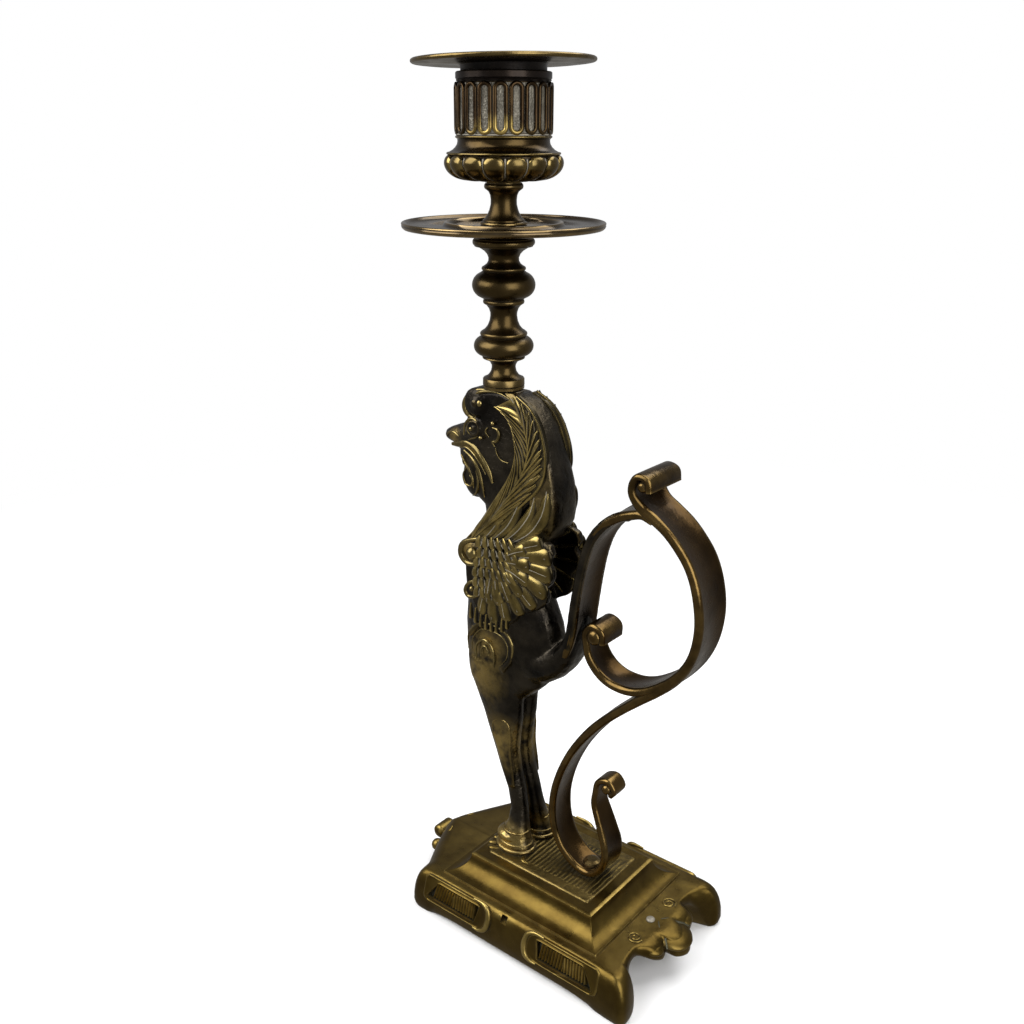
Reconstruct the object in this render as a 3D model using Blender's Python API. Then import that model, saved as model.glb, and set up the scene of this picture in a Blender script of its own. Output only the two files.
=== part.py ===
"""Brass griffin candlestick: base, figure, scroll support, turned stem, drip pan, cup and loose nozzle."""

import math

import bmesh
import bpy
from mathutils import Matrix, Vector

MM = 0.001

# Clearances between neighbouring pieces
seat_gap = 0.3 * MM
bore_clearance = 0.3 * MM

# Base, measured from the middle of its raised block
block_half_length = 33.9 * MM
block_half_width = 26.9 * MM
block_top_inset = 7.5 * MM
flange_height = 16.6 * MM
block_height = 24.4 * MM
field_rise = 0.6 * MM
field_half_length = 22.0 * MM
field_half_width = 15.2 * MM
flank_half_width = 32.8 * MM
flange_half_width = 29.0 * MM
foot_reach = 47.5 * MM
flank_lift = 1.8 * MM
arch_height = 12.5 * MM
rear_shell_reach = 53.4 * MM
rear_shell_offset = 1.6 * MM
front_bow_reach = 56.6 * MM
front_roll_radius = 2.8 * MM
front_roll_overhang = 1.8 * MM
front_roll_half_width = 3.4 * MM
base_wall = 4.0 * MM
foot_pad = 8.0 * MM
panel_length = 22.4 * MM
panel_height = 6.6 * MM
panel_depth = 0.9 * MM
panel_centre = 24.2 * MM
reed_count = 11

# Upright axis of the stem and everything turned on it
stem_x = -27.8 * MM
head_top = 195.5 * MM
stem_height = 50.1 * MM
stem_collar_radius = 9.8 * MM
upper_knop_radius = 10.1 * MM
lower_knop_radius = 9.7 * MM
stem_foot_radius = 6.8 * MM
pan_radius = 32.0 * MM
pan_thickness = 1.2 * MM
pan_rim_height = 2.3 * MM
pan_ring_radius = 19.0 * MM
neck_height = 12.3 * MM
neck_foot_radius = 7.3 * MM
neck_waist_radius = 4.1 * MM
neck_collar_radius = 6.1 * MM
cup_height = 31.4 * MM
cup_radius = 14.8 * MM
cup_belly_radius = 18.0 * MM
cup_floor = 6.0 * MM
flute_count = 19
flute_depth = 0.55 * MM
gadroon_count = 16
gadroon_depth = 0.9 * MM
candle_radius = 11.3 * MM
nozzle_wall = 1.7 * MM
nozzle_disc_radius = 27.8 * MM
nozzle_rise = 2.2 * MM
nozzle_disc_thickness = 1.3 * MM
nozzle_tilt = math.radians(1.0)

# Fixings
rod_radius = 2.1 * MM
rod_in_head = 15.0 * MM
cup_washer_radius = 6.0 * MM
cup_washer_thickness = 0.9 * MM
cup_nut_across_flats = 8.0 * MM
cup_nut_height = 3.2 * MM
screw_radius = 1.7 * MM
screw_head_radius = 3.2 * MM
screw_head_height = 1.9 * MM
leg_screw_depth = 8.5 * MM
plateau_thickness = 4.0 * MM
scroll_nut_across_flats = 6.4 * MM
scroll_nut_height = 2.6 * MM

# Figure
hoof_x = -16.6 * MM
hoof_y = 6.2 * MM
body_half_width = 8.6 * MM
head_half_width = 4.7 * MM
feather_spread = 5.0 * MM
feather_lean = 0.045
wing_y = 7.9 * MM
wing_thickness = 3.2 * MM
tail_half_width = 7.0 * MM
tail_thickness = 3.3 * MM

# Scroll support
strap_thickness = 3.1 * MM
strap_half_width = 8.3 * MM
foot_strap_half_width = 5.7 * MM
scroll_screw_x = 13.4 * MM
top_roll_centre = (31.7 * MM, 175.9 * MM)
top_roll_half_width = 9.2 * MM
mid_roll_centre = (14.6 * MM, 119.9 * MM)
end_roll_centre = (19.9 * MM, 62.8 * MM)
roll_core_radius = 3.1 * MM
scroll_reach = 54.8 * MM

# Places that follow from the sizes above
front_roll_x = front_bow_reach + front_roll_overhang
front_reach = front_roll_x + front_roll_radius
plateau_top = block_height + field_rise
hoof_base = plateau_top + seat_gap
stem_base = head_top + seat_gap
stem_top = stem_base + stem_height
pan_base = stem_top + seat_gap
pan_top = pan_base + pan_thickness
neck_base = pan_top + seat_gap
neck_top = neck_base + neck_height
cup_base = neck_top + seat_gap
cup_top = cup_base + cup_height
cup_floor_top = cup_base + cup_floor
bore_radius = rod_radius + bore_clearance
nozzle_radius = candle_radius + nozzle_wall
cup_bore_radius = nozzle_radius + bore_clearance
washer_base = cup_floor_top + seat_gap
strap_centre_height = plateau_top + 1.9 * MM
screw_seat = strap_centre_height + 0.18 * strap_thickness
cup_nut_base = washer_base + cup_washer_thickness + seat_gap
centre_x = (scroll_reach - front_reach) / 2


def clear_scene():
    for item in list(bpy.data.objects):
        bpy.data.objects.remove(item, do_unlink=True)


def brass(name, colour, roughness, metallic=1.0):
    material = bpy.data.materials.new(name)
    material.use_nodes = True
    shader = material.node_tree.nodes["Principled BSDF"]
    shader.inputs["Base Color"].default_value = (*colour, 1.0)
    shader.inputs["Roughness"].default_value = roughness
    shader.inputs["Metallic"].default_value = metallic
    return material


def add_object(name, mesh, material=None, angle=35.0):
    piece = bpy.data.objects.new(name, mesh)
    bpy.context.scene.collection.objects.link(piece)
    if material:
        mesh.materials.append(material)
    mesh.shade_smooth()
    mesh.set_sharp_from_angle(angle=math.radians(angle))
    return piece


def as_helper(piece):
    piece.hide_render = True
    piece.display_type = "WIRE"
    return piece


def combine(piece, helper, operation):
    modifier = piece.modifiers.new(operation.title() + " " + helper.name, "BOOLEAN")
    modifier.operation = operation
    modifier.solver = "EXACT"
    modifier.object = as_helper(helper)
    return modifier


def combine_all(piece, helpers, operation):
    """All helpers in one collection, joined to the piece or cut from it in one step."""
    group = bpy.data.collections.new(piece.name + " " + operation.lower())
    bpy.context.scene.collection.children.link(group)
    for helper in helpers:
        bpy.context.scene.collection.objects.unlink(helper)
        group.objects.link(as_helper(helper))
    group.hide_render = True
    modifier = piece.modifiers.new(operation.title(), "BOOLEAN")
    modifier.operation = operation
    modifier.solver = "EXACT"
    modifier.operand_type = "COLLECTION"
    modifier.collection = group
    return modifier


def mesh_from(name, build):
    mesh = bpy.data.meshes.new(name)
    shape = bmesh.new()
    build(shape)
    bmesh.ops.recalc_face_normals(shape, faces=shape.faces)
    shape.to_mesh(mesh)
    shape.free()
    return mesh


def smooth_curve(points, count):
    """Evenly numbered points along a Catmull-Rom curve through points of any dimension."""
    spans = len(points) - 1
    ends = [tuple(2 * a - b for a, b in zip(points[0], points[1]))]
    tail = [tuple(2 * a - b for a, b in zip(points[-1], points[-2]))]
    knots = ends + [tuple(p) for p in points] + tail
    result = []
    for step in range(count):
        place = step * spans / (count - 1)
        span = min(int(place), spans - 1)
        t = place - span
        p0, p1, p2, p3 = knots[span:span + 4]
        result.append(tuple(
            0.5 * (2 * b + (c - a) * t + (2 * a - 5 * b + 4 * c - d) * t * t
                   + (3 * b - a - 3 * c + d) * t ** 3)
            for a, b, c, d in zip(p0, p1, p2, p3)))
    return result


def loft(shape, rings, closed_caps=True):
    """Joins rings of equal length with quads and fills the two ends."""
    rows = [[shape.verts.new(point) for point in ring] for ring in rings]
    size = len(rows[0])
    for lower, upper in zip(rows, rows[1:]):
        for i in range(size):
            j = (i + 1) % size
            shape.faces.new((lower[i], lower[j], upper[j], upper[i]))
    if closed_caps:
        shape.faces.new(rows[0])
        shape.faces.new(rows[-1])
    return rows


def lofted(name, rings):
    return add_object(name, mesh_from(name, lambda shape: loft(shape, rings)))


def turned(name, profile, steps, material=None, angle=35.0):
    """A closed profile of (radius, height) pairs, outer side from the top down, spun about the stem."""
    mesh = bpy.data.meshes.new(name)
    shape = bmesh.new()
    points = [shape.verts.new((radius, 0.0, height)) for radius, height in profile]
    for first, second in zip(points, points[1:] + points[:1]):
        shape.edges.new((first, second))
    shape.to_mesh(mesh)
    shape.free()
    piece = bpy.data.objects.new(name, mesh)
    bpy.context.scene.collection.objects.link(piece)
    if material:
        mesh.materials.append(material)
    spin = piece.modifiers.new("Turn", "SCREW")
    spin.axis = "Z"
    spin.steps = steps
    spin.render_steps = steps
    spin.use_merge_vertices = True
    spin.merge_threshold = 0.00001
    spin.use_smooth_shade = True
    piece.location = (stem_x, 0.0, 0.0)
    return piece


def arc(centre_radius, centre_height, size_r, size_h, start, stop, count):
    """Points of an ellipse arc in (radius, height), angles in degrees from the outward direction."""
    result = []
    for i in range(count):
        turn = math.radians(start + (stop - start) * i / (count - 1))
        result.append((centre_radius + size_r * math.cos(turn), centre_height + size_h * math.sin(turn)))
    return result


def cylinder(name, radius, low, high, x=0.0, y=0.0, sides=20):
    rings = []
    for height in (low, high):
        rings.append([
            (x + radius * math.cos(2 * math.pi * i / sides),
             y + radius * math.sin(2 * math.pi * i / sides), height)
            for i in range(sides)])
    return lofted(name, rings)


def cross_cylinder(name, x, z, radius, y_from, y_to, sides=16, dome=0.0):
    """A cylinder along Y, its outer end rounded over by dome."""
    stops = [(y_from, radius), (y_to, radius)]
    if dome:
        side = 1.0 if y_to > y_from else -1.0
        stops = [(y_from, radius), (y_to - side * dome, radius), (y_to - side * dome * 0.3, radius * 0.8)]
        stops.append((y_to, radius * 0.4))
    rings = []
    for y, r in stops:
        rings.append([
            (x + r * math.cos(2 * math.pi * i / sides), y, z + r * math.sin(2 * math.pi * i / sides))
            for i in range(sides)])
    return lofted(name, rings)


def ball(name, centre, radius, stretch=(1.0, 1.0, 1.0), segments=12):
    def build(shape):
        size = Matrix.Diagonal((radius * stretch[0], radius * stretch[1], radius * stretch[2], 1.0))
        place = Matrix.Translation(Vector(centre)) @ size
        bmesh.ops.create_uvsphere(shape, u_segments=segments, v_segments=segments // 2 + 1, radius=1.0,
                                  matrix=place)
    return add_object(name, mesh_from(name, build))


def plate(name, outline, y_from, y_to, bevel=0.0, lean=0.0):
    """A plate cut to an (x, z) outline between two y planes, leaning outwards on its way down."""
    side = 1.0 if abs(y_to) == y_to else -1.0
    middle_x = sum(x for x, z in outline) / len(outline)
    middle_z = sum(z for x, z in outline) / len(outline)

    def at(y, x, z):
        return (x, y + side * lean * (head_top - z), z)

    def shrunk(by):
        ring = []
        for x, z in outline:
            away = math.hypot(x - middle_x, z - middle_z)
            scale = max(0.0, 1.0 - by / away)
            ring.append((middle_x + (x - middle_x) * scale, middle_z + (z - middle_z) * scale))
        return ring

    rings = [[at(y_from, x, z) for x, z in outline], [at(y_to - side * bevel, x, z) for x, z in outline]]
    if bevel:
        rings.append([at(y_to, x, z) for x, z in shrunk(bevel * 1.2)])
    return lofted(name, rings)


def ribbon(name, path, section, count):
    """Sweeps a strap section along a path of (x, z, half width, thickness) in the upright plane."""
    stops = smooth_curve(path, count)
    rings = []
    for i, (x, z, half_width, thickness) in enumerate(stops):
        before = stops[max(i - 1, 0)]
        after = stops[min(i + 1, count - 1)]
        along = Vector((after[0] - before[0], after[1] - before[1])).normalized()
        normal = Vector((-along.y, along.x))
        rings.append([
            (x + normal.x * v * thickness / 2, u * half_width, z + normal.y * v * thickness / 2)
            for u, v in section])
    return lofted(name, rings)


strap_section = [
    (-1.0, -0.55), (-0.92, -1.0), (-0.78, -1.0), (-0.66, -0.6), (0.66, -0.6), (0.78, -1.0),
    (0.92, -1.0), (1.0, -0.55),
    (1.0, 0.55), (0.92, 1.0), (0.78, 1.0), (0.66, 0.6), (-0.66, 0.6), (-0.78, 1.0), (-0.92, 1.0),
    (-1.0, 0.55)]


def round_section(count, squareness=2.6):
    """A unit superellipse, as (across, through) pairs."""
    result = []
    for i in range(count):
        turn = 2 * math.pi * i / count
        c, s = math.cos(turn), math.sin(turn)
        result.append((
            math.copysign(abs(c) ** (2 / squareness), c),
            math.copysign(abs(s) ** (2 / squareness), s)))
    return result


def skirt_columns():
    """Round the base from the front tip to the rear: upper point, lower point, lower height."""
    arch = arch_height
    lift = flank_lift
    wide = flank_half_width
    upper_y = flange_half_width
    bow = front_bow_reach
    foot = foot_reach
    shell = rear_shell_reach
    edge = block_half_length + 7.3 * MM
    front = [
        ((-bow + 5.4 * MM, 0.0), (-bow, 0.0), 5.6 * MM),
        ((-bow + 7.6 * MM, 4.6 * MM), (-bow + 1.2 * MM, 5.2 * MM), 5.4 * MM),
        ((-bow + 10.6 * MM, 10.0 * MM), (-bow + 3.4 * MM, 10.4 * MM), 5.2 * MM),
        ((-bow + 13.6 * MM, 15.5 * MM), (-bow + 6.0 * MM, 15.8 * MM), 5.0 * MM),
        ((-bow + 15.9 * MM, 20.0 * MM), (-bow + 8.2 * MM, 20.4 * MM), 4.0 * MM),
        ((-edge + 2.0 * MM, 23.6 * MM), (-foot + 0.4 * MM, 24.2 * MM), 0.9 * MM),
        ((-edge + 1.6 * MM, 26.0 * MM), (-foot + 1.2 * MM, 27.6 * MM), 0.0),
        ((-edge + 1.8 * MM, upper_y - 0.7 * MM), (-foot + 1.8 * MM, wide - 1.8 * MM), 0.0),
        ((-edge + 3.0 * MM, upper_y), (-foot + 3.8 * MM, wide + 0.1 * MM), 0.0)]
    side = [
        ((-edge + 5.0 * MM, upper_y), (-foot + 8.5 * MM, wide + 0.3 * MM), 0.0),
        ((-edge + 8.5 * MM, upper_y), (-foot + 13.5 * MM, wide), lift - 0.7 * MM)]
    middle = [((x, upper_y), (x, wide), lift) for x in (-0.55 * foot, -0.2 * foot, 0.2 * foot, 0.55 * foot)]
    mirrored = [((-a[0], a[1]), (-b[0], b[1]), z) for a, b, z in reversed(side)]
    rear = [
        ((edge - 2.6 * MM, upper_y), (foot - 3.0 * MM, wide + 0.6 * MM), 0.0),
        ((edge + 0.4 * MM, upper_y - 0.4 * MM), (foot + 1.4 * MM, wide + 0.2 * MM), 0.0),
        ((edge + 1.6 * MM, 26.6 * MM), (foot + 2.2 * MM, 29.6 * MM), 0.0),
        ((edge + 1.4 * MM, 24.9 * MM), (foot + 0.6 * MM, 25.8 * MM), 0.9 * MM),
        ((edge + 0.6 * MM, 23.0 * MM), (foot - 2.2 * MM, 23.4 * MM), arch - 3.0 * MM),
        ((edge + 0.2 * MM, 19.6 * MM), (foot - 4.4 * MM, 19.6 * MM), arch),
        ((edge, 14.8 * MM), (foot - 4.6 * MM, 14.4 * MM), arch),
        ((edge + 0.4 * MM, 11.6 * MM), (shell - 6.2 * MM, 12.2 * MM), 10.6 * MM),
        ((edge + 0.9 * MM, 8.2 * MM), (shell - 4.9 * MM, 8.6 * MM), 9.2 * MM),
        ((edge + 1.0 * MM, 5.4 * MM), (shell - 5.4 * MM, 5.2 * MM), 9.4 * MM),
        ((edge + 1.0 * MM, 3.4 * MM), (shell - 1.8 * MM, 3.7 * MM), 8.6 * MM),
        ((edge + 1.0 * MM, 0.0), (shell, 0.0), 8.4 * MM)]
    near = front + side + middle + mirrored + rear
    columns = near + [((a[0], -a[1]), (b[0], -b[1]), z) for a, b, z in reversed(near[1:-1])]
    result = []
    for upper, lower, z in columns:
        in_leaf = z > 0 and lower[0] > shell - 6.5 * MM
        offset = rear_shell_offset if in_leaf else 0.0
        result.append((upper, (lower[0], lower[1] + offset), z))
    return result


def base_skirt():
    """Flange, bulging flanks, feet and end shells, hollow below."""
    columns = skirt_columns()
    hollow_x = foot_reach - foot_pad
    hollow_y = flank_half_width - base_wall
    roof = flange_height - base_wall

    def inner(point, grow):
        x, y = point
        limit_x = hollow_x - grow
        limit_y = hollow_y - grow
        return (max(-limit_x, min(limit_x, x * 0.86)), max(-limit_y, min(limit_y, y * 0.86)))

    def turned_under(z):
        return z + (2.8 * MM if z < 1.0 * MM else 1.4 * MM)

    rings = []
    rings.append([(a[0] * 0.7, a[1] * 0.7, flange_height) for a, b, z in columns])
    for angle in (0, 25, 50, 72, 90):
        out = math.sin(math.radians(angle)) ** 0.8
        down = 1 - math.cos(math.radians(angle))
        rings.append([
            (a[0] + (b[0] - a[0]) * out, a[1] + (b[1] - a[1]) * out,
             flange_height + (turned_under(z) - flange_height) * down)
            for a, b, z in columns])
    rings.append([(b[0] * 0.975, b[1] * 0.965, z) for a, b, z in columns])
    rings.append([(*inner(b, 0.0), z) for a, b, z in columns])
    rings.append([(*inner(b, 0.5 * MM), roof) for a, b, z in columns])
    return lofted("base", rings)


def block_rings():
    """Coved block: foot, hollow sides, top ridge and the raised field inside it."""
    steps = [(0.0, -6.0 * MM), (0.0, 0.0)]
    cove_height = block_height - flange_height
    for angle in (18, 36, 54, 72, 90):
        turn = math.radians(angle)
        steps.append((block_top_inset * math.sin(turn), cove_height * (1 - math.cos(turn))))
    rings = []
    for inset, rise in steps:
        x = block_half_length - inset
        y = block_half_width - inset
        z = flange_height + rise
        rings.append([(-x, -y, z), (x, -y, z), (x, y, z), (-x, y, z)])
    field = [(-field_half_length, -field_half_width), (field_half_length, -field_half_width)]
    field += [(field_half_length, field_half_width), (-field_half_length, field_half_width)]
    rings.append([(x, y, plateau_top - 0.1 * MM) for x, y in field])
    rings.append([(x * 0.985, y * 0.98, plateau_top) for x, y in field])
    return rings


def panel_frame(side, direction):
    """Places a cartouche on a long flank: origin on the surface, Z outwards, X along the base."""
    lean = math.radians(74)
    turn = Matrix.Rotation(lean, 4, "X")
    spot = Vector((direction * panel_centre, -flank_half_width + 1.1 * MM, 11.6 * MM))
    frame = Matrix.Translation(spot) @ turn
    return frame if side < 0 else Matrix.Scale(-1, 4, (0, 1, 0)) @ frame


def stadium(half_length, half_height, inner_round, outer_round, steps=6):
    """Outline of a long pad, its two ends rounded by different amounts."""
    result = []
    for centre, radius, start in (
            ((half_length - outer_round, half_height - outer_round), outer_round, 0),
            ((-half_length + inner_round, half_height - inner_round), inner_round, 90),
            ((-half_length + inner_round, -half_height + inner_round), inner_round, 180),
            ((half_length - outer_round, -half_height + outer_round), outer_round, 270)):
        for i in range(steps):
            turn = math.radians(start + 90 * i / (steps - 1))
            result.append((centre[0] + radius * math.cos(turn), centre[1] + radius * math.sin(turn)))
    return result


def placed_prism(name, frame, outline, low, high, draft=1.0):
    rings = [[tuple(frame @ Vector((x, y, low))) for x, y in outline]]
    rings.append([tuple(frame @ Vector((x * draft, y * draft, high))) for x, y in outline])
    return lofted(name, rings)


def base_relief():
    """Four padded cartouches, each with a sunk window of reeds, returned as (pads, windows, reeds)."""
    pads, windows, reeds = [], [], []
    for side in (-1, 1):
        for direction in (-1, 1):
            name = f"cartouche {side} {direction}"
            frame = panel_frame(side, direction)
            inner_end = 4.4 * MM if direction > 0 else 2.8 * MM
            pad = stadium(panel_length / 2 + 4.0 * MM, panel_height / 2 + 1.6 * MM, inner_end, 2.0 * MM, 4)
            pad = [(x * direction, y) for x, y in pad]
            window = [(-panel_length / 2 + 1.4 * MM, -panel_height / 2),
                      (panel_length / 2 + 1.6 * MM, -panel_height / 2)]
            window += [(panel_length / 2 - 3.0 * MM, panel_height / 2),
                       (-panel_length / 2, panel_height / 2)]
            window = [(x * direction, y) for x, y in window]
            pads.append(placed_prism(name, frame, pad, -2.0 * MM, 0.9 * MM, 0.96))
            windows.append(placed_prism(name + " window", frame, window, 1.0 * MM - panel_depth, 3.0 * MM))
            pitch = (panel_length - 2.0 * MM) / reed_count
            for i in range(reed_count):
                x = (-panel_length / 2 + 1.0 * MM + pitch * (i + 0.5)) * direction
                half = pitch * 0.3
                reed = [(x - half, -panel_height / 2 + 0.5 * MM), (x + half, -panel_height / 2 + 0.5 * MM)]
                reed += [(x + half, panel_height / 2 - 0.5 * MM), (x - half, panel_height / 2 - 0.5 * MM)]
                reeds.append(placed_prism(f"{name} reed {i}", frame, reed, -1.0 * MM, 0.75 * MM))
    return pads, windows, reeds


def base_end_ornament():
    """Three-lobed leaf and volutes on the rear flange, and the rolled lip, knobs and leaves of the front."""
    parts = []
    for side in (-1, 1):
        lobe = (rear_shell_reach - 8.8 * MM, side * 8.2 * MM + rear_shell_offset, flange_height - 3.4 * MM)
        parts.append(ball(f"rear lobe {side}", lobe, 4.2 * MM, (1.0, 1.0, 0.75)))
        parts.append(cylinder(f"volute {side}", 2.6 * MM, flange_height - 2 * MM, flange_height + 0.7 * MM,
                              block_half_length + 5.2 * MM, side * 11.0 * MM, 12))
        knob = (-front_bow_reach + 0.5 * MM, side * 7.0 * MM, 6.6 * MM)
        parts.append(ball(f"front knob {side}", knob, 2.4 * MM))
        leaf = [Vector((-front_bow_reach + 5.6 * MM, side * 5.4 * MM, 15.6 * MM))]
        leaf.append(Vector((-front_bow_reach + 5.2 * MM, side * 13.4 * MM, 9.4 * MM)))
        rings = []
        for share, half in ((0.0, 0.7 * MM), (0.2, 1.3 * MM), (0.8, 1.5 * MM), (1.0, 0.9 * MM)):
            spot = leaf[0].lerp(leaf[1], share)
            corners = ((-half, -half), (half, -half), (half, half), (-half, half))
            rings.append([(spot.x + u, spot.y, spot.z + v) for u, v in corners])
        parts.append(lofted(f"front leaf {side}", rings))
    boss_x = block_half_length + 4.6 * MM
    middle = (rear_shell_reach - 5.4 * MM, rear_shell_offset, flange_height - 4.0 * MM)
    parts.append(ball("rear middle lobe", middle, 4.8 * MM, (1.0, 1.0, 0.75)))
    parts.append(ball("rear boss", (boss_x, 0.0, flange_height), 1.5 * MM))
    half = front_roll_half_width
    parts.append(cross_cylinder("front roll", -front_roll_x, 9.4 * MM, front_roll_radius, -half, half, 16))
    for side in (-1, 1):
        parts.append(ball(f"roll end {side}", (-front_roll_x, side * half, 9.4 * MM), front_roll_radius - 1.0 * MM))
    return parts


def base_cuts():
    """Hollow under the block, three screw holes and the small square pit in each long flank."""
    half_x = block_half_length - block_top_inset - base_wall + 2.5 * MM
    half_y = block_half_width - block_top_inset - base_wall + 2.5 * MM
    roof = plateau_top - plateau_thickness
    rings = []
    for z, spread in ((flange_height - base_wall - 2 * MM, 4.0 * MM), (flange_height, 2.5 * MM),
                      (roof, 0.0)):
        x, y = half_x + spread, half_y + spread
        rings.append([(-x, -y, z), (x, -y, z), (x, y, z), (-x, y, z)])
    cuts = [lofted("block hollow", rings)]
    hole = screw_radius + bore_clearance
    for side in (-1, 1):
        cuts.append(cylinder(f"leg screw hole {side}", hole, roof - 1 * MM, plateau_top + 1 * MM,
                             hoof_x, side * hoof_y, 16))
        pit = panel_frame(side, 1)
        corner = 1.2 * MM
        shift = -panel_centre - 1.6 * MM
        square = [(shift - corner, 2.6 * MM), (shift + corner, 2.6 * MM), (shift + corner, 4.6 * MM)]
        square.append((shift - corner, 4.6 * MM))
        cuts.append(placed_prism(f"pit {side}", pit, square, -1.4 * MM, 4.0 * MM))
    cuts.append(cylinder("scroll screw hole", hole, roof - 1 * MM, plateau_top + 1 * MM,
                         scroll_screw_x, 0.0, 16))
    return cuts


def make_base(material):
    base = base_skirt()
    base.data.materials.append(material)
    pads, windows, reeds = base_relief()
    block = lofted("base block", block_rings())
    combine_all(base, [block] + pads + base_end_ornament(), "UNION")
    combine_all(base, windows + base_cuts(), "DIFFERENCE")
    combine_all(base, reeds, "UNION")
    return base


def on_head(drop):
    """Height of a point of the head, given as millimetres below its top."""
    return head_top - drop * MM


def above_throat(z):
    """Height of a point drawn at z: over the throat it hangs from the top of the head, drawn at 195.5."""
    return on_head(195.5 - z) if z > 156 else z * MM


def figure_body():
    """Chest, neck and head as one standing form: height, front, back and half width at each level."""
    chest = body_half_width
    head = head_half_width
    levels = [
        (84, -36, -17, chest * 0.88), (88.5, -40.6, -12, chest * 0.98), (92, -41.6, -8.5, chest),
        (98, -42.0, -6.6, chest),
        (104, -42.6, -2.6, chest), (110, -42.8, -1.8, chest), (116, -42.2, -3.0, chest),
        (122, -41.8, -5.6, chest * 0.98),
        (127, -41.0, -8.4, chest * 0.98), (133, -39.8, -9.3, chest * 0.97),
        (139, -37.6, -9.0, chest * 0.93),
        (145, -35.6, -7.6, (chest + head) / 2), (150, -34.2, -6.2, head * 1.14),
        (154.5, -35, -5.6, head * 1.04),
        (158, -41.0, -5.5, head), (163, -44.0, -6.0, head), (168, -45.2, -7.0, head),
        (173, -45.4, -8.6, head),
        (178, -44.4, -10.6, head), (183, -43.0, -13.0, head), (188, -41.0, -16.2, head * 0.98),
        (192, -38.8, -19, head * 0.96), (195.5, -35.6, -20.4, head * 0.94)]
    section = round_section(26)
    rings = []
    for z, front, back, half in levels:
        middle, reach = (front + back) / 2 * MM, (back - front) / 2 * MM
        height = above_throat(z)
        rings.append([(middle + reach * u, half * v, height) for u, v in section])
    return lofted("figure", rings)


def face_parts(side):
    """Beak edge, eye ring, crest volute, throat and mouth line of one side of the head."""
    parts = []

    def eye(shape):
        place = Matrix.Translation((-36.6 * MM, side * 5.1 * MM,
                                    on_head(14.1))) @ Matrix.Rotation(math.pi / 2, 4, "X")
        ring, tube = 2.3 * MM, 0.75 * MM
        rows = []
        for i in range(14):
            around = 2 * math.pi * i / 14
            row = []
            for j in range(6):
                turn = 2 * math.pi * j / 6
                r = ring + tube * math.cos(turn)
                row.append(place @ Vector((r * math.cos(around), r * math.sin(around),
                                           tube * math.sin(turn))))
            rows.append(row)
        verts = [[shape.verts.new(p) for p in row] for row in rows]
        for i in range(14):
            for j in range(6):
                k, m = (i + 1) % 14, (j + 1) % 6
                shape.faces.new((verts[i][j], verts[k][j], verts[k][m], verts[i][m]))

    parts.append(add_object(f"eye ring {side}", mesh_from("eye ring", eye)))
    parts.append(ball(f"eye {side}", (-36.6 * MM, side * 4.9 * MM, on_head(14.1)), 1.3 * MM, (1, 1, 1), 8))
    parts.append(cross_cylinder(f"crest volute {side}", -36.0 * MM, on_head(5.2), 4.9 * MM, 0.0,
                                side * 6.1 * MM, 16, 1.2 * MM))
    parts.append(cross_cylinder(f"crest boss {side}", -35.2 * MM, on_head(5.2), 1.6 * MM,
                                side * 4.0 * MM, side * 7.1 * MM, 8, 0.8 * MM))
    return parts


def beak():
    """Upturned bill and open lower jaw, drawn towards the front."""
    section = round_section(14, 2.2)
    bill = [(-38, 177.2, 4.7, 5.6), (-43, 176.8, 4.0, 5.0), (-47, 176.5, 3.2, 3.8),
            (-50.5, 176.1, 2.4, 2.7),
            (-52.6, 175.8, 1.6, 1.8), (-53.4, 175.6, 0.7, 0.8)]
    jaw = [(-38, 167.6, 4.6, 5.2), (-42, 168.4, 3.6, 3.7), (-45, 170.0, 2.6, 2.3), (-46.6, 171.4, 1.0, 0.9)]
    parts = []
    for name, stops in (("bill", bill), ("jaw", jaw)):
        rings = []
        for x, z, half, rise in reversed(stops):
            height = above_throat(z)
            rings.append([(x * MM, half * MM * u, height + rise * MM * v) for u, v in section])
        parts.append(lofted(name, rings))
    return parts


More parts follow.
